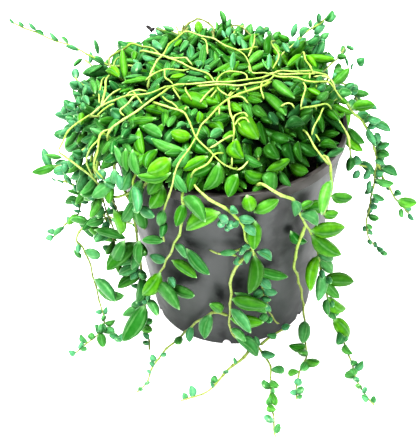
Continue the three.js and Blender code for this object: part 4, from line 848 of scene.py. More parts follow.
class Room:
    """Balls that stand for what is already placed, kept in cells."""

    def __init__(self) -> None:
        """Starts empty."""
        self.cells: dict[tuple[int, int, int], list[tuple[str, Vector, float]]] = defaultdict(list)

    @staticmethod
    def key(point: Vector) -> tuple[int, int, int]:
        """Returns the cell of a point."""
        return (floor(point.x / CELL), floor(point.y / CELL), floor(point.z / CELL))

    def add(self, owner: str, point: Vector, radius: float) -> None:
        """Adds a ball."""
        self.cells[self.key(point)].append((owner, point, radius))

    def forget(self, owner: str) -> None:
        """Removes all balls of an owner."""
        for key, balls in self.cells.items():
            self.cells[key] = [ball for ball in balls if ball[0] != owner]

    def allows(self, owner: str, point: Vector, radius: float, own: float) -> bool:
        """Whether a ball is clear of other owners, and not sunk deep into its own owner.

        Args:
            owner: The stem or crown that the ball belongs to.
            point: The ball's centre.
            radius: The ball's radius.
            own: The least distance to the owner's own balls, as a share of the two radii.

        Returns:
            True where there is room.
        """
        i, j, k = self.key(point)
        for x in (i - 1, i, i + 1):
            for y in (j - 1, j, j + 1):
                for z in (k - 1, k, k + 1):
                    for other, centre, size in self.cells.get((x, y, z), ()):
                        reach = size + radius
                        need = own * reach if other == owner else reach + GAP
                        if need > 0 and (centre - point).length_squared < need * need:
                            return False
        return True


def wall_distance(point: Vector) -> float:
    """Returns the distance from a point to the pot's wall or band."""
    radius = hypot(point.x, point.y)

    def line(r1: float, z1: float, r2: float, z2: float, half: float) -> float:
        """Returns the distance to a slanted wall, from its middle less half its thickness."""
        along = (radius - r1) * (r2 - r1) + (point.z - z1) * (z2 - z1)
        share = clamp(along / ((r2 - r1) ** 2 + (z2 - z1) ** 2))
        return hypot(radius - r1 - share * (r2 - r1), point.z - z1 - share * (z2 - z1)) - half

    middle = (POT_TOP_RADIUS + body_radius(POT_HEIGHT) - WALL) / 2
    half = POT_TOP_RADIUS - middle
    return min(
        line(POT_BASE_RADIUS - WALL / 2, 0, body_radius(POT_HEIGHT) - WALL / 2, POT_HEIGHT, WALL / 2),
        line(middle, POT_HEIGHT - BAND_HEIGHT + half, middle, POT_HEIGHT - half, half),
    )


def clear_of_pot(point: Vector, radius: float) -> bool:
    """Whether a ball is clear of the pot, the potting mix and the surface that the pot stands on."""
    if wall_distance(point) < radius + GAP or point.z < radius + 0.1:
        return False
    inside = hypot(point.x, point.y) < body_radius(point.z) and point.z < POT_HEIGHT
    return not inside or point.z > MIX_TOP + radius + GAP


def way_at(point: Vector) -> tuple[Vector, Vector, Vector]:
    """Returns out of, down along and right along the wall, or the same on the surface for a lying stem."""
    radial = outward(point)
    lifted = clamp((point.z - 4) / 12)
    hang = lifted * lifted * (3 - 2 * lifted)
    out = (radial * hang + UP * (1 - hang)).normalized()
    down = (radial * (1 - hang) - UP * hang).normalized()
    return out, down, Vector((-radial.y, radial.x, 0))


def pointing(point: Vector, bearing: float, lift: float) -> Vector:
    """Returns a direction by its bearing, clockwise from up as seen from outside, and its lift."""
    out, down, right = way_at(point)
    turn, tilt = radians(bearing), radians(lift)
    return (
        down * (-cos(tilt) * cos(turn))
        + right * (cos(tilt) * sin(turn))
        + out * sin(tilt)
    )


@dataclass(frozen=True)
class Level:
    """A level of the crown's core: its height, its radius in the pot and its share of the reach."""

    height: float
    plug: float
    share: float


class Core:
    """The form of the heap under the outer leaves."""

    LEVELS = (
        Level(MIX_TOP + 0.7, 42, 0),
        Level(MIX_TOP + 5, 50, 0),
        Level(POT_HEIGHT + 5, 51, 0),
        Level(POT_HEIGHT + 9, 0, 0.9),
        Level(POT_HEIGHT + 13, 0, 1),
        Level(POT_HEIGHT + 19, 0, 0.82),
        Level(POT_HEIGHT + 23, 0, 0.45),
        Level(POT_HEIGHT + 25, 0, 0),
    )

    @staticmethod
    def reach(turn: float) -> float:
        """Returns how far the heap reaches at a turn, with its dent at the right front."""
        c, s = cos_sin(turn)
        away = ((turn - CROWN_DENT_TURN) % 360 + 540) % 360 - 180
        dent = CROWN_DENT * exp(-((away / CROWN_DENT_SPREAD) ** 2))
        return 1 / hypot(c / CROWN_REACH[0], s / CROWN_REACH[1]) - dent

    @classmethod
    def point(cls, turn: float, level: float) -> Vector:
        """Returns a point of the core's skin at a level that need not be whole."""
        index = min(floor(level), len(cls.LEVELS) - 2)
        c, s = cos_sin(turn)

        def at(stage: Level) -> Vector:
            """Returns the point at a whole level."""
            if stage.plug:
                return Vector((stage.plug * c, stage.plug * s, stage.height))
            x, y = CROWN_CENTRE
            radius = stage.share * cls.reach(turn)
            return Vector((x + radius * c, y + radius * s, stage.height))

        return at(cls.LEVELS[index]).lerp(at(cls.LEVELS[index + 1]), level - index)


@dataclass(frozen=True)
class BackStem:
    """A stem on the hidden sides: its turn, how far it swings, its reach past the rim, its lowest point.

    A lowest value under 0 is the length that lies along the surface.
    """

    turn: float
    swing: float
    reach: float
    lowest: float

    def route(self, index: int) -> list[Numbers]:
        """Returns the stem's points as turn, radius and height."""
        out = POT_TOP_RADIUS + self.reach
        foot = 16 if self.lowest < 0 else self.lowest
        points = [*rise(self.turn), (self.turn + self.swing * 0.3, out - self.reach * 0.3, POT_HEIGHT + 1)]
        falls = 4
        for i in range(falls + 1):
            share = i / falls
            height = POT_HEIGHT - 9 - (POT_HEIGHT - 9 - foot) * share
            sway = (draw(index, i, 5) - 0.5) * 3
            lean = max(out - share * 0.55 * self.reach, body_radius(height) + 6)
            points.append((self.turn + self.swing * (0.4 + share) + sway, lean - share * 4, height))
        if self.lowest < 0:
            last_turn, last_radius, _ = points[-1]
            steps = 4
            points.append((last_turn + 1, last_radius + 4, 5))
            for i in range(1, steps + 1):
                bend = (draw(index, i, 9) - 0.5) * 5
                turn = last_turn + 1 + self.swing * i * 0.7 + bend
                points.append((turn, last_radius + 4 - self.lowest * i / steps, 2))
        return points


BACK_STEMS = (
    BackStem(177, 3, 18, 50), BackStem(167, -3, 21, 36), BackStem(155, -2, 18, 62), BackStem(141, 3, 13, 30),
    BackStem(125, 4, 11, -46), BackStem(109, 3, 8, 64), BackStem(93, 4, 9, -58), BackStem(76, 4, 8, 50),
    BackStem(59, 5, 8, -40), BackStem(40, -3, 8, 66),
)
BACK_GROWTH = (36, 9.5, 17, 6)


def with_courses(branches: Iterable[Branch], place: Callable[..., Vector]) -> list[tuple[Branch, Course]]:
    """Returns branches with their courses, each point placed by a function."""
    return [(branch, Course([place(*point) for point in branch.route])) for branch in branches]


def straight(x: float, y: float, z: float = HEAP_TOP) -> Vector:
    """Returns a point given as x, y and a height, which is the heap's top where it isn't given."""
    return Vector((x, y, z))


class Planting:
    """Places every stem, runner and leaf in the order in which the part places them."""

    def __init__(self) -> None:
        """Lays the courses and reserves their room."""
        self.room = Room()
        self.girth = 1.0
        self.leaves: dict[str, list[Leaf]] = defaultdict(list)
        self.courses: dict[str, list[tuple[Branch, Course]]] = defaultdict(list)
        for name, branch in STEM_PARTS:
            self.courses[name] += with_courses([branch], polar)
        for index, stem in enumerate(BACK_STEMS):
            branch = Branch(stem.route(index), growth=BACK_GROWTH)
            self.courses[f"stem_back_{index + 1}"] = with_courses([branch], polar)
        self.courses[CROWN] = with_courses(RUNNERS, straight)
        for name, pairs in self.courses.items():
            for _, course in pairs:
                for place in course.places:
                    self.room.add(name, place.point, STEM_RADIUS)

    def fits(self, owner: str, leaf: Leaf, own: float) -> bool:
        """Whether a leaf is clear of the pot, of other stems and mostly of its own stem's leaves."""
        return all(
            clear_of_pot(point, radius)
            and self.room.allows(owner, point, radius, own if share > ROOT_SHARE else 0)
            for point, radius, share in leaf.balls()
        )

    def settle(self, owner: str, root: Vector, aim: Aim, length: float, own: float) -> None:
        """Tries a few turns, lifts and lengths of a leaf, and keeps the first that has room.

        Args:
            owner: The stem or crown that it grows on.
            root: Where it grows from.
            aim: Gives its direction and upper face for a swing and a lift.
            length: Its length.
            own: How near it may come to its owner's other leaves.
        """
        for i in range(TRIES):
            side = 1 if i % 2 else -1
            way, face = aim(side * ceil(i / 2) * TRY_SWING, i * TRY_LIFT)
            leaf = Leaf(root, way, face, length * (1 - TRY_SHRINK * i), self.girth)
            if self.fits(owner, leaf, own):
                self.keep(owner, leaf)
                return

    def keep(self, owner: str, leaf: Leaf) -> None:
        """Adds a leaf and takes its room."""
        for point, radius, _ in leaf.balls():
            self.room.add(owner, point, radius)
        self.leaves[owner].append(leaf)

    def on_stem(
        self, owner: str, place: Place, bearing: float, lift: float, length: float, own: float
    ) -> None:
        """Settles one leaf on a stem.

        Args:
            owner: The stem or crown that it grows on.
            place: Where it grows from.
            bearing: Its direction, clockwise from up as seen from outside.
            lift: How far it stands up.
            length: Its length.
            own: How near it may come to its owner's other leaves.
        """
        out = way_at(place.point)[0]

        def aim(swing: float, more: float) -> tuple[Vector, Vector]:
            """Returns the leaf's direction and upper face."""
            return pointing(place.point, bearing + swing, lift + more), out

        self.settle(owner, place.point, aim, length, own)

    def dress(self, owner: str, branch: Branch, course: Course, seed: int) -> None:
        """Settles the listed leaves and those of the growth rule on one stem or runner.

        Args:
            owner: The stem or crown that it belongs to.
            branch: The stem or runner.
            course: Its way.
            seed: A whole number for its own draws.
        """
        for distance, bearing, lift, length in branch.leaves:
            self.on_stem(owner, course.at(distance), bearing, lift, length, NEAR_BY_HAND)
        if not branch.growth:
            return
        start, every, first, last, *until = branch.growth
        end = min(until[0] if until else inf, course.length)
        side = 1 if draw(seed, 21) < 0.5 else -1
        for k in range(floor((end - start) / every) + 1):
            place = course.at(start + k * every)
            _, down, right = way_at(place.point)
            heading = degrees(atan2(place.travel.dot(right), -place.travel.dot(down)))
            share = k * every / max(end - start, 1)
            length = (first + (last - first) * share**1.2) * (0.85 + 0.3 * draw(seed, k, 22))
            bearing = heading + side * (35 + 55 * draw(seed, k, 23))
            lift = 8 + 45 * draw(seed, k, 24)
            self.on_stem(owner, place, bearing, lift, max(length, LEAST_LEAF), NEAR_GROWN)
            side = -side

    def on_skin(
        self, turn: float, level: float, heading: float, tilt: float, length: float, own: float,
        sunk: float = 2,
    ) -> None:
        """Settles a leaf on the core's skin.

        Args:
            turn: Where it grows, in degrees round the crown.
            level: How far up the core's skin it grows.
            heading: Its direction on the skin, in degrees from downhill.
            tilt: How far it stands up from the skin.
            length: Its length.
            own: How near it may come to the crown's other leaves.
            sunk: How far its root is under the skin.
        """
        upper = level > EDGE_LEVEL
        slope = 14 + (TOP_LEVEL - level) * 17 if upper else 75 + (EDGE_LEVEL - level) * 22
        c, s = cos_sin(turn)
        flat, steep = cos_sin(slope)
        normal = Vector((c * steep, s * steep, flat))
        downhill = Vector((c * flat, s * flat, -steep))
        across = Vector((-s, c, 0))

        def aim(swing: float, more: float) -> tuple[Vector, Vector]:
            """Returns the leaf's direction and upper face."""
            to, up = radians(heading + swing), radians(tilt + more)
            level_way = downhill * cos(to) + across * sin(to)
            return level_way * cos(up) + normal * sin(up), normal

        self.settle(CROWN, Core.point(turn, level) - normal * sunk, aim, length, own)

    def crown_leaf(self, index: int) -> None:
        """Settles one of the leaves scattered evenly over the core."""
        share = (index + 0.5) / CROWN_LEAVES
        turn = index * GOLDEN_TURN + (draw(index, 1) - 0.5) * 10
        top = TOP_LEVEL - 2.9 * sqrt(share / TOP_SHARE)
        level = top if share < TOP_SHARE else EDGE_LEVEL - (share - TOP_SHARE) / 0.32 * 1.3
        heading = (draw(index, 2) - 0.5) * (360 if level > EDGE_LEVEL else 130)
        self.on_skin(turn, level, heading, 12 + 26 * draw(index, 3), 15 + 7 * draw(index, 4), NEAR_SCATTERED)

    def inner_leaf(self, index: int, count: int, own: float) -> None:
        """Settles one of the leaves that fill the gap between the core and the wall.

        Args:
            index: Its number.
            count: How many there are all round.
            own: How near it may come to the crown's other leaves.
        """
        turn = 360 * index / count + (draw(index, 11) - 0.5) * 6
        c, s = cos_sin(turn)
        root = Core.point(turn, 1.1 + 0.8 * draw(index, 12)) - Vector((2 * c, 2 * s, 0))

        def aim(swing: float, more: float) -> tuple[Vector, Vector]:
            """Returns the leaf's direction and upper face."""
            to, up = radians(turn + swing), radians(8 + 34 * draw(index, 13) + more)
            return Vector((cos(up) * cos(to), cos(up) * sin(to), sin(up))), UP

        self.settle(CROWN, root, aim, 14 + 4 * draw(index, 14), own)

    def grow(self) -> None:
        """Places all leaves that the part has, in its order."""
        middle = on_axis(POT_HEIGHT + 12)
        for half_level in range(2 * len(Core.LEVELS) - 1):
            for turn in range(0, 360, 6):
                skin = Core.point(turn, half_level / 2)
                self.room.add("core", skin + (middle - skin).normalized() * CORE_DEPTH, CORE_BALL)
        seed = 1
        for name, pairs in self.courses.items():
            if name == CROWN:
                self.room.forget("core")
            for branch, course in pairs:
                self.dress(name, branch, course, seed)
                seed += 1
        for index in range(CROWN_LEAVES):
            self.crown_leaf(index)
        for index in range(CROWN_INNER_LEAVES):
            self.inner_leaf(index, CROWN_INNER_LEAVES, NEAR_INNER)

    def show(self) -> None:
        """Sets the leaves that show from the front, and drops the scattered ones that they replace."""
        middle = on_axis(POT_HEIGHT)
        shown = [
            shown_leaf(Vector(root), Vector(tip), (Vector(root) + Vector(tip)) / 2 - middle, *rest)
            for root, tip, *rest in SHOWN_LEAVES
        ]
        scattered = self.leaves[CROWN]
        self.room.forget(CROWN)
        self.leaves[CROWN] = []
        for leaf in shown:
            self.keep(CROWN, leaf)
        for leaf in scattered:
            if leaf.root.z > SPRIG_FOOT or leaf.tip.z > SHOWN_TOP:
                continue
            lain = self.laid(leaf)
            if self.fits(CROWN, lain, NEAR_SMALL):
                self.keep(CROWN, lain)
        for _, course in self.courses[CROWN]:
            for place in course.places:
                if place.point.z > POT_HEIGHT + 8:
                    away = (place.point - middle).normalized()
                    self.room.add("runner", place.point, 0.9)
                    self.room.add("runner", place.point + away * 3, 1.2)
        for leaf in shown:
            for point, radius, _ in leaf.balls():
                for step in CLEAR_STEPS:
                    self.room.add("clear", point + FRONT_VIEW * (radius + step), radius * CLEAR_SHARE)

    def hang(self) -> None:
        """Sets the leaves that show before the pot's wall, and small ones along all hanging stems."""
        shown = {
            owner: [(before_wall(*root), before_wall(*tip), *rest) for root, tip, *rest in rows]
            for owner, rows in SHOWN_HANGING.items()
        }
        for owner, rows in SHOWN_BESIDE.items():
            shown[owner] = [(Vector(root), Vector(tip), *rest) for root, tip, *rest in rows]
        settled = {owner: self.leaves.pop(owner) for owner in shown}
        for owner, rows in shown.items():
            self.room.forget(owner)
            for start, end, *rest in rows:
                self.keep(owner, shown_leaf(start, end, outward(start) + FRONT_VIEW * 0.5, *rest))
        for owner, leaves in settled.items():
            own = NEAR_LEFT if owner.startswith("stem_left") else NEAR_SCATTERED
            for leaf in leaves:
                if self.fits(owner, leaf, own):
                    self.keep(owner, leaf)
        for owner, route in TWIGS:
            twig = Branch(route, thick=(0.75, 0.55), brown=(0.1, 0.5))
            self.courses[owner] += with_courses([twig], before_wall)
        for number, (owner, pairs) in enumerate(self.courses.items()):
            for branch, course in pairs:
                if owner != CROWN and (branch.growth or branch.leaves):
                    bare = BARE_LENGTHS.get(owner, BARE_FRONT if "front" in owner else BARE_SIDE)
                    start = bare if branch.route[0][2] < MIX_TOP else BARE_BRANCH
                    self.small_leaves(owner, course, start, number)

    def small_leaves(self, owner: str, course: Course, start: float, number: int) -> None:
        """Settles small leaves along a stem past its start, wherever there is room for them.

        Args:
            owner: The stem that they grow on.
            course: Its way.
            start: How much of it stays bare.
            number: A whole number for its own draws.
        """
        for k in range(floor(max(course.length - start, 0) / SMALL_EVERY)):
            place = course.at(start + (k + draw(number, k, 71)) * SMALL_EVERY)
            self.girth = 1.0 + 0.35 * draw(number, k, 72)
            bearing, lift = 360 * draw(number, k, 73), 10 + 40 * draw(number, k, 74)
            share = place.distance / course.length
            length = (9 - 4 * share) * (0.7 + 0.5 * draw(number, k, 75))
            self.on_stem(owner, place, bearing, lift, max(length, LEAST_LEAF), NEAR_SMALL)

    @staticmethod
    def laid(leaf: Leaf) -> Leaf:
        """Returns a leaf laid flatter against the heap where it grows on the heap's top."""
        if leaf.root.z < LAID_FROM:
            return leaf
        out = (leaf.root - on_axis(LAID_CENTRE)).normalized()
        way = (leaf.way - out * (LAID_SHARE * leaf.way.dot(out))).normalized()
        return Leaf(leaf.root + out, way, squared(out, way), leaf.length * LAID_LONGER, LAID_GIRTH)

    def sprig(self, route: Sequence[Numbers], seed: int) -> None:
        """Lays a young side shoot over the crown, with its small leaves, where enough of them have room.

        Args:
            route: Its points as x, y, z.
            seed: A whole number for its own draws.
        """
        branch = Branch(route, growth=SPRIG_GROWTH, thick=(0.6, 0.45), brown=(0.2, 0.4))
        course = Course([straight(*point) for point in route])
        before = len(self.leaves[CROWN])
        self.girth = SPRIG_GIRTH
        self.dress(CROWN, branch, course, seed)
        if len(self.leaves[CROWN]) - before >= SPRIG_LEAST:
            self.courses[CROWN].append((branch, course))

    def scattered_sprig(self, index: int) -> None:
        """Lays one of the side shoots that a rule spreads over the heap's back."""
        turn = 20 + 140 * draw(index, 60)
        foot = Core.point(turn, 2.0 + 1.6 * draw(index, 61))
        out = (foot - on_axis(POT_HEIGHT - 10)).normalized()
        side = out.cross(UP).normalized() * (1 if index % 2 else -1)
        reach = 11 + 8 * draw(index, 62)
        lean = (out * 0.4 + side * (0.4 + 0.5 * draw(index, 63)) + UP * 0.2) * reach
        rises = ((0, 0), (6, 0.25), (8, 0.7), (9, 1))
        self.sprig([tuple(foot + out * height + lean * share) for height, share in rises], 400 + index)

    def fill(self) -> None:
        """Places the finer leaves that close the gaps between those of the part."""
        for index, route in enumerate(SPRIG_ROUTES):
            self.sprig(route, 300 + index)
        for index in range(SPRIGS):
            self.scattered_sprig(index)
        for index in range(FILL_LEAVES):
            level = TOP_LEVEL - 4.5 * draw(index, 30) ** 0.6
            heading = (draw(index, 32) - 0.5) * (340 if level > 5 else 170)
            tilt = -8 + 34 * draw(index, 33)
            sunk = 3.5 - 5.5 * draw(index, 35)
            self.girth = 0.62 + 0.34 * draw(index, 36)
            length = 12 + 11 * draw(index, 34)
            self.on_skin(index * GOLDEN_TURN, level, heading, tilt, length, NEAR_FILL, sunk)
        for index in range(FILL_INNER_LEAVES):
            self.inner_leaf(index, FILL_INNER_LEAVES, NEAR_FILL_INNER)
        crown = self.leaves[CROWN]
        self.leaves[CROWN] = [leaf for leaf in crown if leaf.tone or leaf.tip.z < SHOWN_TOP]


# Meshes

LEAF_SIDES = 8
LEAF_RINGS = (
    (0.0, 0.0), (0.02, 0.16), (0.07, 0.24), (0.16, 0.62), (0.32, 0.93), (0.5, 1.0), (0.7, 0.88), (0.86, 0.56),
    (0.95, 0.24), (1.0, 0.0),
)
LEAF_FLAT = 0.8
LEAF_BENDS = ((-16.0, 0.0), (8.0, 14.0), (24.0, -18.0), (40.0, 0.0), (14.0, -34.0), (10.0, 32.0))
UV = "along"
TINT = "tint"


class Slot(Enum):
    """Material slots of the leafy pieces, by index."""

    LEAF = 0
    STEM = 1


def finish_mesh(bm: BMesh, name: str) -> Mesh:
    """Closes seams and poles, turns faces outwards, smooths and writes a mesh.

    Args:
        bm: The working mesh, which is freed.
        name: The mesh's name.

    Returns:
        The finished mesh.
    """
    bmesh.ops.remove_doubles(bm, verts=bm.verts, dist=1e-5)
    bmesh.ops.recalc_face_normals(bm, faces=bm.faces)
    for face in bm.faces:
        face.smooth = True
    mesh = bpy.data.meshes.new(name)
    bm.to_mesh(mesh)
    bm.free()
    return mesh


def wrapped_grid(around: int, along: int) -> BMesh:
    """Returns a grid with a UV layer, to be wrapped round into a closed form."""
    bm = bmesh.new()
    bm.loops.layers.uv.new(UV)
    bm.verts.layers.float_color.new(TINT)
    bmesh.ops.create_grid(bm, x_segments=around, y_segments=along, size=0.5, calc_uvs=True)
    return bm


class LeafMaker:
    """Holds a few ready leaves of unit size and stamps them into a piece."""

    def __init__(self) -> None:
        """Makes one ready leaf for each bend."""
        self.ready = [self._leaf(*bends) for bends in LEAF_BENDS]

    def _leaf(self, bend: float, sway: float) -> Mesh:
        """Returns a leaf with half widths of 1 and length 1, bent towards its face and swayed sideways.

        Args:
            bend: How far it bends, in degrees.
            sway: How far it sways, in degrees.

        Returns:
            The leaf's mesh.
        """
        bm = wrapped_grid(LEAF_SIDES, len(LEAF_RINGS) - 1)
        uv = bm.loops.layers.uv[UV]
        arc, swing = radians(bend), radians(sway)
        reach = 5.0
        for vert in bm.verts:
            turn = (vert.co.x + 0.5) * 2 * pi
            share, half = LEAF_RINGS[round((vert.co.y + 0.5) * (len(LEAF_RINGS) - 1))]
            side, face = cos(turn) * half, sin(turn) * half
            bow = share * (1 - share) * 2
            side -= reach * swing * bow * 0.5
            face = face * (0.86 if face < 0 else 1) + reach * arc * (share * share / 2)
            vert.co = Vector((side, face, share * (1 - arc * arc * share * share / 6)))
        for face in bm.faces:
            for loop in face.loops:
                row = round(loop[uv].uv.y * (len(LEAF_RINGS) - 1))
                loop[uv].uv.y = LEAF_RINGS[row][0]
        return finish_mesh(bm, "ready_leaf")

    def stamp(self, bm: BMesh, leaf: Leaf, bend: int, plump: float, tint: Numbers) -> None:
        """Adds one leaf to a piece.

        Args:
            bm: The piece's working mesh.
            leaf: Where the leaf is.
            bend: Which ready leaf is used.
            plump: Its width as a share of the usual width.
            tint: Its freshness, bloom, band and darkness, which is partly painted shade.
        """
        mesh = self.ready[bend]
        half = leaf.width / 2 * plump
        across = leaf.way.cross(leaf.face).normalized()
        face = across.cross(leaf.way)
        place = Matrix.Identity(4)
        place.col[0].xyz = across * half * MM
        place.col[1].xyz = face * half * LEAF_FLAT * MM
        place.col[2].xyz = leaf.way * leaf.length * MM
        place.translation = leaf.root * MM
        mesh.attributes[TINT].data.foreach_set("color", tint * len(mesh.vertices))
        mesh.transform(place)
        bm.from_mesh(mesh)
        mesh.transform(place.inverted())

    def clear(self) -> None:
        """Removes the ready leaves."""
        for mesh in self.ready:
            bpy.data.meshes.remove(mesh)


class StemMaker:
    """Draws stems as tapering tubes with swollen nodes."""

    SIDES = 6
    STEP = 1.6
    NODE_EVERY = 9.0
    SLIM = 0.68
    LEAST = 0.5
    ZIGZAG = 0.45

    def tube(self, bm: BMesh, course: Course, branch: Branch, seed: int) -> None:
        """Adds one stem to a piece.

        Args:
            bm: The piece's working mesh.
            course: Its way.
            branch: Its thickness and colour.
            seed: A whole number for its own draws.
        """
        stations = course.stations(self.STEP)
        last = len(stations) - 1
        part = wrapped_grid(self.SIDES, last)
        uv = part.loops.layers.uv[UV]
        tint = part.verts.layers.float_color[TINT]
        frames = self._frames(stations)
        for vert in part.verts:
            row = round((vert.co.y + 0.5) * last)
            turn = (vert.co.x + 0.5) * 2 * pi
            place, (side, top) = stations[row], frames[row]
            share = place.distance / course.length
            radius = self._radius(place, share, branch, seed)
            if row in (0, last):
                radius = 0.0
            tone = 0.5 + 0.5 * noise.noise(place.point * 0.05 + Vector((seed, 0, 0)))
            brown = branch.brown[0] + (branch.brown[1] - branch.brown[0]) * share**2
            vert[tint] = (tone, brown, draw(seed, 77), 1)
            kink = abs((place.distance / self.NODE_EVERY + draw(seed, 78)) % 2 - 1) - 0.5
            middle = place.point + side * (2 * self.ZIGZAG * kink)
            vert.co = (middle + (side * cos(turn) + top * sin(turn)) * radius) * MM
        for face in part.faces:
            face.material_index = Slot.STEM.value
            for loop in face.loops:
                loop[uv].uv.y *= course.length / self.NODE_EVERY
        mesh = finish_mesh(part, "stem_part")
        bm.from_mesh(mesh)
        bpy.data.meshes.remove(mesh)

    def _radius(self, place: Place, share: float, branch: Branch, seed: int) -> float:
        """Returns the radius at a place, with a swelling at each node."""
        foot, tip = branch.thick
        phase = (place.distance / self.NODE_EVERY + draw(seed, 78)) % 1
        swell = 0.3 * exp(-((min(phase, 1 - phase) * self.NODE_EVERY / 0.9) ** 2))
        slim = self.SLIM if place.point.z > POT_HEIGHT + 6 else 0.9
        return max(slim * (foot + (tip - foot) * share), self.LEAST) * (1 + swell)

    @staticmethod
    def _frames(stations: Sequence[Place]) -> list[tuple[Vector, Vector]]:
        """Returns side and top directions that turn as little as possible along the stem."""
        side = stations[0].travel.orthogonal().normalized()
        frames = []
        for place in stations:
            side = (side - place.travel * side.dot(place.travel)).normalized()
            frames.append((side, place.travel.cross(side)))
        return frames


# Finishes


class Kit:
    """Adds shader nodes to a tree and links them."""

    def __init__(self, tree: bpy.types.NodeTree) -> None:
        """Works on one tree."""
        self.tree = tree

    def add(self, kind: str, inputs: dict | None = None, **settings: object) -> bpy.types.Node:
        """Adds a node.

        Args:
            kind: The node's type.
            inputs: Values or output sockets for its inputs, by name or index.
            settings: The node's own settings.

        Returns:
            The node.
        """
        node = self.tree.nodes.new(kind)
        for name, value in settings.items():
            setattr(node, name, value)
        for key, value in (inputs or {}).items():
            if isinstance(value, Socket):
                self.tree.links.new(value, node.inputs[key])
            else:
                node.inputs[key].default_value = value
        return node

    def math(self, operation: str, a: object, b: object = 0.0, c: object = 0.0) -> Socket:
        """Returns the result of a Math node."""
        return self.add("ShaderNodeMath", {0: a, 1: b, 2: c}, operation=operation).outputs[0]

    def blend(self, factor: object, a: object, b: object, mode: str = "MIX") -> Socket:
        """Returns a mix of two colours."""
        ends = {6 + i: (*end, 1.0) if isinstance(end, tuple) else end for i, end in enumerate((a, b))}
        return self.add("ShaderNodeMix", {0: factor, **ends}, data_type="RGBA", blend_type=mode).outputs[2]

    def remap(self, value: object, low: float, high: float, to: tuple[float, float] = (0, 1)) -> Socket:
        """Returns a value smoothly remapped from low and high to two others."""
        inputs = {0: value, 1: low, 2: high, 3: to[0], 4: to[1]}
        return self.add("ShaderNodeMapRange", inputs, interpolation_type="SMOOTHSTEP").outputs[0]

    def noise(self, vector: object, scale: float, detail: float = 2.0, rough: float = 0.5) -> Socket:
        """Returns a noise value."""
        inputs = {"Vector": vector, "Scale": scale, "Detail": detail, "Roughness": rough}
        return self.add("ShaderNodeTexNoise", inputs).outputs[0]

    def place(self) -> Socket:
        """Returns the object coordinates."""
        return self.add("ShaderNodeTexCoord").outputs["Object"]

    def girth_and_length(self) -> Socket:
        """Returns a leaf's or stem's own coordinates: round its girth and along its length."""
        return self.add("ShaderNodeUVMap", uv_map=UV).outputs[0]

    def bump(self, height: object, strength: float, depth: float) -> Socket:
        """Returns a normal raised by a height, with its depth in metres."""
        inputs = {"Height": height, "Strength": strength, "Distance": depth}
        return self.add("ShaderNodeBump", inputs).outputs[0]


def mottle_group() -> bpy.types.NodeTree:
    """Builds the shared mottling: smooth noise on the surface, between two values.

    Returns:
        The node group.
    """
    tree = bpy.data.node_groups.new("mottle", "ShaderNodeTree")
    tree.interface.new_socket("Vector", in_out="INPUT", socket_type="NodeSocketVector")
    for name, value in (("Scale", 100.0), ("Low", 0.0), ("High", 1.0)):
        tree.interface.new_socket(name, in_out="INPUT", socket_type="NodeSocketFloat").default_value = value
    tree.interface.new_socket("Value", in_out="OUTPUT", socket_type="NodeSocketFloat")
    kit = Kit(tree)
    start = kit.add("NodeGroupInput")
    grain = kit.noise(start.outputs["Vector"], 1.0, 3.0, 0.55)
    tree.links.new(start.outputs["Scale"], grain.node.inputs["Scale"])
    spread = kit.add("ShaderNodeMapRange", {0: grain, 1: 0.3, 2: 0.7})
    tree.links.new(start.outputs["Low"], spread.inputs[3])
    tree.links.new(start.outputs["High"], spread.inputs[4])
    kit.add("NodeGroupOutput", {"Value": spread.outputs[0]})
    return tree


MOTTLE = mottle_group()


class Surface:
    """A material with a Principled shader, and the nodes in front of it."""

    def __init__(self, name: str) -> None:
        """Starts a material."""
        self.material = bpy.data.materials.new(name)
        self.material.use_nodes = True
        tree = self.material.node_tree
        tree.nodes.clear()
        self.kit = Kit(tree)
        self.shader = self.kit.add("ShaderNodeBsdfPrincipled")
        self.kit.add("ShaderNodeOutputMaterial", {0: self.shader.outputs[0]})

    def set(self, **inputs: object) -> None:
        """Sets or links inputs of the shader, with _ for each space in a name."""
        for key, value in inputs.items():
            socket = self.shader.inputs[key.replace("_", " ")]
            if isinstance(value, Socket):
                self.kit.tree.links.new(value, socket)
            else:
                socket.default_value = (*value, 1.0) if isinstance(value, tuple) else value

    def mottle(self, vector: object, scale: float, low: float, high: float) -> Socket:
        """Returns mottling between two values."""
        inputs = {"Vector": vector, "Scale": scale, "Low": low, "High": high}
        return self.kit.add("ShaderNodeGroup", inputs, node_tree=MOTTLE).outputs["Value"]


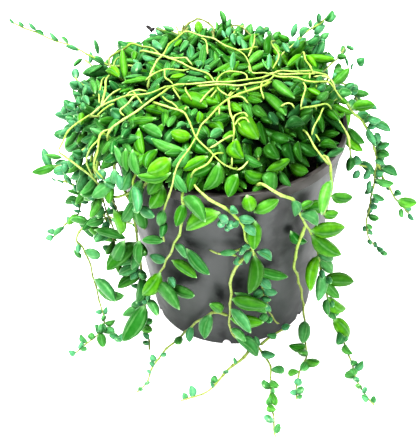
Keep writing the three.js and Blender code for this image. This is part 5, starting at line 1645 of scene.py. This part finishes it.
@dataclass(frozen=True)
class LeafFinish:
    """Waxy melon leaves: a dark band in the middle, paler towards the sides, with a thin pale edge, part
    margin and part painted sheen.

    The young ones have a bluish bloom. The tint's darkness adds painted shade.
    """

    deep: Colour = (0.006, 0.080, 0.005)
    fresh: Colour = (0.13, 0.35, 0.008)
    bloom: Colour = (0.095, 0.27, 0.155)
    pale: Colour = (0.34, 0.56, 0.27)
    shaded: Colour = (0.0005, 0.018, 0.001)
    stripes: float = 5.0
    roughness: float = 0.38

    def material(self) -> Material:
        """Returns the leaves' material."""
        surface = Surface("melon_leaf")
        kit = surface.kit
        across, along, _ = kit.add("ShaderNodeSeparateXYZ", {0: kit.girth_and_length()}).outputs
        tint = kit.add("ShaderNodeAttribute", attribute_name=TINT).outputs
        freshness, bloom, shade = kit.add("ShaderNodeSeparateColor", {0: tint["Color"]}).outputs
        place = kit.place()
        green = kit.blend(freshness, self.deep, self.fresh)
        green = kit.blend(bloom, green, self.bloom)
        fold = kit.math("PINGPONG", across, 0.25)
        middle = kit.math("MULTIPLY", kit.remap(fold, 0.14, 0.24), kit.remap(along, 0.08, 0.3))
        band = kit.math("MULTIPLY", middle, kit.remap(shade, 0.2, 0.9, (0.1, 0.8)))
        green = kit.blend(band, green, self.deep)
        wave = kit.math("SINE", kit.math("MULTIPLY", across, 2 * pi * self.stripes))
        line = kit.math("MULTIPLY", kit.remap(wave, 0.55, 1.0), kit.remap(along, 0.04, 0.3, (0, 0.2)))
        green = kit.blend(line, green, self.pale)
        green = kit.blend(surface.mottle(place, 330.0, 0.0, 0.5), green, self.deep)
        # Painted sheen: paler at grazing angles, a rim of light round each leaf that grows with its bloom; it
        # also stands for the thin pale margin
        grazing = kit.add("ShaderNodeLayerWeight", {"Blend": 0.4}).outputs["Facing"]
        rim = kit.math("MULTIPLY", kit.remap(grazing, 0.6, 0.92), kit.remap(bloom, 0.0, 0.7, (0.12, 0.75)))
        tip = kit.remap(along, 0.93, 1.0, (0.0, 0.85))
        green = kit.blend(kit.math("MAXIMUM", rim, tip), green, self.pale)
        green = kit.blend(kit.remap(along, 0.0, 0.16, (0.7, 0.0)), green, self.pale)
        # Painted shade: the tint's darkness blends the leaf towards the shaded colour
        green = kit.blend(kit.math("MULTIPLY", tint["Alpha"], 0.85), green, self.shaded)
        rough = surface.mottle(place, 400.0, self.roughness - 0.06, self.roughness + 0.1)
        surface.set(Base_Color=green, Roughness=rough, Normal=kit.bump(wave, 0.2, 0.0002))
        surface.set(Specular_IOR_Level=0.22, Specular_Tint=(0.45, 1.0, 0.45))
        return surface.material


@dataclass(frozen=True)
class StemFinish:
    """Yellow-green to cream stems with brownish nodes."""

    green: Colour = (0.19, 0.36, 0.02)
    cream: Colour = (0.36, 0.43, 0.16)
    olive: Colour = (0.20, 0.25, 0.06)
    brown: Colour = (0.042, 0.026, 0.008)
    black: Colour = (0.006, 0.004, 0.005)
    roughness: float = 0.5

    def material(self) -> Material:
        """Returns the stems' material."""
        surface = Surface("stem")
        kit = surface.kit
        _, along, _ = kit.add("ShaderNodeSeparateXYZ", {0: kit.girth_and_length()}).outputs
        tint = kit.add("ShaderNodeAttribute", attribute_name=TINT).outputs["Color"]
        tone, brown, _ = kit.add("ShaderNodeSeparateColor", {0: tint}).outputs
        place = kit.place()
        skin = kit.blend(tone, self.green, self.cream)
        height = kit.add("ShaderNodeSeparateXYZ", {0: place}).outputs[2]
        skin = kit.blend(kit.remap(height, 0.03, 0.12, (0.8, 0.1)), skin, self.olive)
        node = kit.math("PINGPONG", along, 0.5)
        ring = kit.remap(node, 0.0, 0.1, (0.5, 0.0))
        streak = surface.mottle(place, 300.0, 0.0, 0.25)
        mask = kit.math("MAXIMUM", kit.math("MULTIPLY", brown, surface.mottle(place, 120.0, 0.3, 1.0)), ring)
        skin = kit.blend(kit.math("MAXIMUM", mask, streak), skin, self.brown)
        skin = kit.blend(kit.remap(brown, 1.2, 2.0, (0.0, 1.0)), skin, self.black)
        surface.set(Base_Color=skin, Roughness=self.roughness, Specular_IOR_Level=0.4)
        surface.set(Normal=kit.bump(kit.noise(place, 900.0), 0.3, 0.0002))
        return surface.material


@dataclass(frozen=True)
class PotFinish:
    """Thin black plastic: satin, dull and grey in part, with darker patches of painted shadow and reflection,
    greyer round the rim.

    Each painted shadow and reflection of the hanging leaves runs along a turn between two heights, with its
    half width.
    """

    black: Colour = (0.0035, 0.004, 0.0045)
    grey: Colour = (0.042, 0.045, 0.045)
    rim: Colour = (0.036, 0.032, 0.030)
    roughness: float = 0.4
    # Painted shadows and reflections of the hanging leaves and stems, as turn, foot height, top height and
    # half width
    leaf_shadows_and_reflections: tuple[tuple[float, float, float, float], ...] = (
        (-118, 92, 116, 9), (-66, 66, 112, 8), (-53, 84, 108, 9), (-80, 98, 112, 7), (-88, 54, 66, 5),
        (-112, 60, 84, 8), (-96, 38, 52, 6), (-90, 100, 116, 4), (-97, 5, 30, 4),
        (20, 60, 110, 9), (60, 20, 70, 7), (110, 70, 112, 9), (165, 15, 60, 7),
    )

    @staticmethod
    def _shadow_line_distance(kit: Kit, place: object, turn: float, low: float, high: float) -> Socket:
        """Returns the distance from the upright line of one painted shadow on the wall.

        Args:
            kit: Adds the shader nodes.
            place: The object coordinates.
            turn: The line's turn.
            low: The height of its foot.
            high: The height of its top.

        Returns:
            The distance in metres.
        """
        foot, top = polar(turn, body_radius(low), low) * MM, polar(turn, body_radius(high), high) * MM
        along = top - foot
        gap = kit.add("ShaderNodeVectorMath", {0: place, 1: foot}, operation="SUBTRACT").outputs[0]
        unit = along / along.length_squared
        dot = kit.add("ShaderNodeVectorMath", {0: gap, 1: unit}, operation="DOT_PRODUCT").outputs["Value"]
        share = kit.add("ShaderNodeClamp", {0: dot}).outputs[0]
        step = kit.add("ShaderNodeVectorMath", {0: along, "Scale": share}, operation="SCALE").outputs[0]
        return kit.add("ShaderNodeVectorMath", {0: gap, 1: step}, operation="DISTANCE").outputs["Value"]

    def material(self) -> Material:
        """Returns the pot's material."""
        surface = Surface("pot_plastic")
        kit = surface.kit
        place = kit.place()
        height = kit.add("ShaderNodeSeparateXYZ", {0: place}).outputs[2]
        body = kit.blend(surface.mottle(place, 40.0, 0.85, 1.0), self.black, self.grey)
        ragged = kit.math("MULTIPLY", kit.noise(place, 130.0, 3.0), 0.016)
        # Painted shadows and reflections: the wall turns black near each line
        for turn, low, high, size in self.leaf_shadows_and_reflections:
            away = kit.math("ADD", self._shadow_line_distance(kit, place, turn, low, high), ragged)
            body = kit.blend(kit.remap(away, size * MM, (size + 9) * MM, (0.8, 0)), body, self.black)
        band = kit.remap(height, (POT_HEIGHT - BAND_HEIGHT - 0.6) * MM, (POT_HEIGHT - BAND_HEIGHT + 0.4) * MM)
        body = kit.blend(band, body, self.rim)
        scuff = kit.remap(surface.mottle(place, 700.0, 0.0, 1.0), 0.8, 1.0, (0.0, 0.25))
        body = kit.blend(scuff, body, self.rim)
        rough = surface.mottle(place, 60.0, self.roughness - 0.08, self.roughness + 0.12)
        surface.set(Base_Color=body, Roughness=rough)
        surface.set(Normal=kit.bump(kit.noise(place, 90.0, 3.0), 0.06, 0.0006), Specular_IOR_Level=0.34)
        return surface.material


@dataclass(frozen=True)
class DarkFinish:
    """Two dark colours in small patches, with crumbs where they are given a strength."""

    name: str
    dark: Colour
    light: Colour
    patches: float
    roughness: float
    shine: float
    crumbs: float = 0.0

    def material(self) -> Material:
        """Returns the material."""
        surface = Surface(self.name)
        kit, place = surface.kit, surface.kit.place()
        colour = kit.blend(surface.mottle(place, self.patches, 0.0, 1.0), self.dark, self.light)
        surface.set(Base_Color=colour, Roughness=self.roughness, Specular_IOR_Level=self.shine)
        if self.crumbs:
            surface.set(Normal=kit.bump(kit.noise(place, 420.0, 4.0, 0.65), self.crumbs, 0.002))
        return surface.material


# Moist crumbly potting mix, and a dark sheet of painted shade for the deep shade between the leaves inside
# the heap
MIX_FINISH = DarkFinish("potting_mix", (0.012, 0.008, 0.006), (0.07, 0.045, 0.03), 300.0, 0.95, 0.5, 0.9)
SHADE_HEART_FINISH = DarkFinish("crown_shade_heart", (0.0015, 0.008, 0.0015), (0.004, 0.022, 0.003), 160.0, 0.8, 0.1)


# Sub-assemblies


def put(name: str, data: bpy.types.ID) -> Object:
    """Returns a new object with its data, put in the scene."""
    item = bpy.data.objects.new(name, data)
    bpy.context.scene.collection.objects.link(item)
    return item


def place_piece(mesh: Mesh, name: str, materials: Iterable[Material]) -> Object:
    """Puts a mesh in the scene as a piece of the plant.

    Args:
        mesh: The finished mesh, in the frame's own place.
        name: The piece's name.
        materials: Its materials, in the order of its slots.

    Returns:
        The piece.
    """
    piece = put(name, mesh)
    mesh.name = name
    for material in materials:
        mesh.materials.append(material)
    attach(piece, "root")
    triangles = sum(len(polygon.vertices) - 2 for polygon in mesh.polygons)
    log.info("%s: %d triangles", name, triangles)
    return piece


@dataclass(frozen=True)
class Pot:
    """The nursery pot: a tapered wall with a proud rim band, a flat floor and drainage notches."""

    sides: int = 144
    edge: float = 0.5
    notch_count: int = 6
    notch_radius: float = 2.6
    notch_turn: float = -35.0

    def profile(self) -> list[tuple[float, float]]:
        """Returns the half section, from the middle of the underside round to the middle of the floor."""
        foot = POT_HEIGHT - BAND_HEIGHT
        return [
            (0, 0), (POT_BASE_RADIUS - 1, 0), (POT_BASE_RADIUS, 1), (body_radius(foot), foot),
            (POT_TOP_RADIUS - self.edge, foot + self.edge), (POT_TOP_RADIUS, foot + 2 * self.edge),
            (POT_TOP_RADIUS, POT_HEIGHT - self.edge), (POT_TOP_RADIUS - self.edge, POT_HEIGHT),
            (body_radius(POT_HEIGHT) - WALL, POT_HEIGHT), (body_radius(FLOOR) - WALL, FLOOR), (0, FLOOR),
        ]

    def build(self) -> Object:
        """Spins the profile, cuts the notches and places the pot.

        Returns:
            The pot's piece.
        """
        bm = bmesh.new()
        verts = [bm.verts.new((radius * MM, 0, height * MM)) for radius, height in self.profile()]
        edges = [bm.edges.new(pair) for pair in zip(verts, verts[1:])]
        bmesh.ops.spin(
            bm, geom=verts + edges, cent=(0, 0, 0), axis=(0, 0, 1), dvec=(0, 0, 0),
            angle=2 * pi, steps=self.sides, use_merge=True, use_duplicate=False,
        )
        mesh = finish_mesh(bm, "pot_shell")
        piece = place_piece(mesh, "pot_shell", [PotFinish().material()])
        self._cut_notches(piece)
        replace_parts(piece, "pot")
        return piece

    def _cut_notches(self, piece: Object) -> None:
        """Cuts the drainage notches round the bottom edge and bevels what is sharp."""
        bm = bmesh.new()
        for i in range(self.notch_count):
            turn = radians(self.notch_turn + 360 * i / self.notch_count)
            spot = Matrix.Rotation(turn, 4, "Z") @ Matrix.Translation(((POT_BASE_RADIUS + 0.3) * MM, 0, MM))
            place = spot @ Matrix.Rotation(radians(45), 4, "Y")
            radius = self.notch_radius * MM
            bmesh.ops.create_cone(
                bm, cap_ends=True, segments=16, radius1=radius, radius2=radius, depth=12 * MM, matrix=place
            )
        cutter = put("notch_cutter", finish_mesh(bm, "notch_cutter"))
        cut = piece.modifiers.new("notches", "BOOLEAN")
        cut.object = cutter
        cut.operation = "DIFFERENCE"
        view = bpy.context.evaluated_depsgraph_get()
        solid = bpy.data.meshes.new_from_object(piece.evaluated_get(view))
        piece.modifiers.clear()
        piece.data = solid
        bpy.data.objects.remove(cutter)
        soft = piece.modifiers.new("soft_edges", "BEVEL")
        soft.width = 0.25 * MM
        soft.segments = 2
        soft.limit_method = "ANGLE"
        soft.angle_limit = radians(35)
        soft.harden_normals = True


@dataclass(frozen=True)
class Crown:
    """The dark heart inside the heap of leaves, a sheet of painted shade."""

    around: int = 72
    layers: int = 28
    shrink: float = 2.6

    def heart(self) -> Object:
        """Makes the dark, lumpy inside of the heap, a sheet of painted shade that shows between the leaves.

        Returns:
            The heart's piece.
        """
        bm = wrapped_grid(self.around, self.layers)
        top = len(Core.LEVELS) - 1
        for vert in bm.verts:
            turn = -(vert.co.x + 0.5) * 360
            share = vert.co.y + 0.5
            skin = Core.point(turn, top * clamp((share - 0.04) / 0.96))
            middle = Vector((skin.x * 0.2, skin.y * 0.2, POT_HEIGHT + 8))
            if share == 0:
                skin = Vector((0, 0, MIX_TOP + 0.7))
            inward = (middle - skin).normalized()
            lump = self.shrink + 1.6 * noise.noise(skin * 0.14)
            vert.co = (skin + inward * lump) * MM
            if share == 1:
                vert.co = on_axis(skin.z - self.shrink) * MM
        mesh = finish_mesh(bm, "crown_shade_heart")
        return place_piece(mesh, "crown_shade_heart", [SHADE_HEART_FINISH.material()])


def bead(bm: BMesh, turn: float, height: float, away: float, radius: float) -> None:
    """Adds a round young leaf to a piece, with its tip facing out from the wall.

    Args:
        bm: The piece's working mesh.
        turn: Its turn round the pot.
        height: Its height.
        away: Its distance from the wall.
        radius: Its radius.
    """
    centre = before_wall(turn, height, away)
    out = outward(centre) + UP * 0.5
    place = Matrix.Translation(centre * MM) @ out.to_track_quat("Z", "Y").to_matrix().to_4x4()
    part = bmesh.new()
    bmesh.ops.create_uvsphere(part, u_segments=12, v_segments=8, radius=radius * MM, matrix=place)
    tint = part.verts.layers.float_color.new(TINT)
    uv = part.loops.layers.uv.new(UV)
    for vert in part.verts:
        vert[tint] = (0.3, 1.0, 0.4, 0.0)
    for face in part.faces:
        for loop in face.loops:
            share = (place.inverted() @ loop.vert.co).z / (radius * MM)
            loop[uv].uv = (0.12, 0.5 + 0.48 * share)
    mesh = finish_mesh(part, "bead")
    bm.from_mesh(mesh)
    bpy.data.meshes.remove(mesh)


@dataclass(frozen=True)
class Patch:
    """A soft round patch on the heap: the middle and the half widths along x and y."""

    x: float
    y: float
    wide: float
    deep: float

    def weight(self, point: Vector) -> float:
        """Returns how strong the patch is at a point, from 0 to 1."""
        return exp(-(((point.x - self.x) / self.wide) ** 2) - ((point.y - self.y) / self.deep) ** 2)


class Dresser:
    """Turns the planting into finished pieces."""

    # SHADED is painted shade over the heap's right front; BRIGHT makes the leaves fresher near the front
    # middle
    SHADED = Patch(31, -32, 27, 26)
    BRIGHT = Patch(14, -18, 34, 40)
    LEAST_DARK = 0.16
    START_STEP = 1000

    def __init__(self, planting: Planting) -> None:
        """Readies the makers and materials."""
        self.planting = planting
        self.leaf_maker = LeafMaker()
        self.stem_maker = StemMaker()
        self.materials = [LeafFinish().material(), StemFinish().material()]

    def tint(self, leaf: Leaf, owner: str, index: int) -> Numbers:
        """Returns a leaf's freshness, bloom, band and darkness from its size and place; the darkness is
        partly painted shade.

        Args:
            leaf: The leaf.
            owner: The stem or crown that it grows on.
            index: A whole number for its own draws.

        Returns:
            The four shares from 0 to 1.
        """
        root = leaf.root
        heap = owner == CROWN
        # Painted shade over the heap's right front, in the SHADED patch
        dark = 1.1 * self.SHADED.weight(root) if heap and root.z > POT_HEIGHT - 4 else 0.0
        fresh_draw, bloom_draw, band, dark_draw = (draw(index, use) for use in (41, 42, 43, 44))
        if leaf.tone:
            return *leaf.tone, band, clamp(max(dark, self.LEAST_DARK) + 0.25 * (dark_draw - 0.5))
        small = clamp((12 - leaf.length) / 8)
        if heap:
            fresh = 0.15 + 0.35 * self.BRIGHT.weight(root) + 0.65 * (fresh_draw - 0.3)
            bloom = 0.75 * small + 0.4 * (bloom_draw - 0.4) + 0.3 * clamp(-root.x / 80)
            # Painted shade: the heap's leaves that are not given one by one are darker, by 0.12 and a random
            # share
            dark += 0.12 + 0.3 * dark_draw
        else:
            fresh = 0.45 + 0.8 * (fresh_draw - 0.5)
            dull = 0.35 if "left" in owner or "front" in owner else 0.5
            bloom = dull + 0.6 * small + 0.9 * (bloom_draw - 0.5)
            dark = (0.12 if "front" in owner and root.z > 30 else 0.0) + 0.4 * dark_draw**2
        return clamp(fresh), clamp(bloom), band, clamp(dark)

    def write(
        self, name: str, leaves: Sequence[Leaf], pairs: Iterable[tuple[Branch, Course]], start: int
    ) -> Object:
        """Builds one leafy piece.

        Args:
            name: The CAD node that it dresses, which also names it.
            leaves: Its leaves.
            pairs: Its stems.
            start: A whole number for its own draws.

        Returns:
            The piece.
        """
        bm = bmesh.new()
        for seed, leaf in enumerate(leaves, start):
            bend = min(int(draw(seed, 51) * len(LEAF_BENDS)), len(LEAF_BENDS) - 1)
            plump = 1.0 if leaf.tone else 0.92 + 0.3 * draw(seed, 52)
            self.leaf_maker.stamp(bm, leaf, bend, plump, self.tint(leaf, name, seed))
        for seed, (branch, course) in enumerate(pairs, start):
            self.stem_maker.tube(bm, course, branch, seed)
        if name == "stem_front_centre":
            for spot in BEADS:
                bead(bm, *spot)
        mesh = bpy.data.meshes.new(name)
        bm.to_mesh(mesh)
        bm.free()
        return place_piece(mesh, f"{name}_growth", self.materials)

    def build(self) -> None:
        """Builds every leafy piece and lets each stand for its node."""
        start = self.START_STEP
        for name, pairs in self.planting.courses.items():
            extra = with_courses(FINE_RUNNERS, straight) if name == CROWN else []
            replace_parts(self.write(name, self.planting.leaves[name], pairs + extra, start), name)
            start += self.START_STEP
        self.leaf_maker.clear()


@dataclass(frozen=True)
class Studio:
    """A pale floor, soft light and the camera at the photo's viewing angle."""

    tilt: float = 40.3
    roll: float = -1.52
    focal_px: float = 893.0
    distance: float = 535.9
    look_height: float = 52.0
    offset_px: tuple[float, float] = (21.7, 4.95)
    frame_px: tuple[int, int] = (418, 441)
    floor_size: float = 4.0
    aim_height: float = 0.1

    def camera(self) -> None:
        """Places the camera."""
        data = bpy.data.cameras.new("camera")
        tall = max(self.frame_px)
        data.sensor_width = 36
        data.lens = self.focal_px * data.sensor_width / tall
        data.shift_x = -self.offset_px[0] / tall
        data.shift_y = self.offset_px[1] / tall
        data.clip_start = 0.01
        tilt, roll = radians(self.tilt), radians(self.roll)
        back = Vector((0, -cos(tilt), sin(tilt)))
        right = Vector((1, 0, 0))
        up = back.cross(right)
        side = right * cos(roll) + up * sin(roll)
        top = up * cos(roll) - right * sin(roll)
        place = Matrix.Identity(4)
        for column, axis in enumerate((side, top, back)):
            place.col[column].xyz = axis
        place.translation = (Vector((0, 0, self.look_height)) + back * self.distance) * MM
        camera = put("camera", data)
        camera.matrix_world = place
        bpy.context.scene.camera = camera

    def light(self, name: str, spot: Numbers, size: float, power: float) -> None:
        """Hangs a square soft light that faces the plant, with its spot in metres.

        Args:
            name: Its name.
            spot: Where it hangs.
            size: Its side.
            power: Its power in watts.
        """
        data = bpy.data.lights.new(name, "AREA")
        data.size = size
        data.energy = power
        lamp = put(name, data)
        lamp.location = spot
        lamp.rotation_euler = (Vector(spot) - UP * self.aim_height).to_track_quat("Z", "Y").to_euler()

    def build(self) -> None:
        """Sets up the floor, the lights, the white surroundings and the camera."""
        bm = bmesh.new()
        bmesh.ops.create_grid(bm, x_segments=1, y_segments=1, size=self.floor_size / 2)
        floor = put("floor", finish_mesh(bm, "floor"))
        surface = Surface("pale_floor")
        seen = surface.kit.add("ShaderNodeLightPath").outputs["Is Camera Ray"]
        glow = surface.kit.math("MULTIPLY_ADD", seen, 0.3, 0.25)
        surface.set(Base_Color=(0.9, 0.9, 0.9), Roughness=0.6)
        surface.set(Emission_Color=(1.0, 1.0, 1.0), Emission_Strength=glow)
        floor.data.materials.append(surface.material)
        self.light("key", (-0.3, -0.1, 1.1), 0.5, 26)
        self.light("fill", (0.6, -0.9, 0.8), 0.9, 14)
        world = bpy.data.worlds.new("surroundings")
        world.use_nodes = True
        world.node_tree.nodes["Background"].inputs["Color"].default_value = (1, 1, 1, 1)
        world.node_tree.nodes["Background"].inputs["Strength"].default_value = 0.9
        bpy.context.scene.world = world
        bpy.context.scene.view_settings.view_transform = "Standard"
        bpy.context.scene.view_settings.look = "High Contrast"
        self.camera()


def main() -> None:
    """Builds the plant, its pot and the studio."""
    logging.basicConfig(level=logging.INFO, format="%(message)s")
    planting = Planting()
    planting.grow()
    planting.show()
    planting.hang()
    planting.fill()
    log.info("leaves: %d", sum(len(leaves) for leaves in planting.leaves.values()))
    Pot().build()
    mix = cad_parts["potting_mix"]
    mix.data.materials.clear()
    mix.data.materials.append(MIX_FINISH.material())
    Dresser(planting).build()
    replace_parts(Crown().heart(), CROWN)
    Studio().build()


if __name__ == "__main__":
    main()
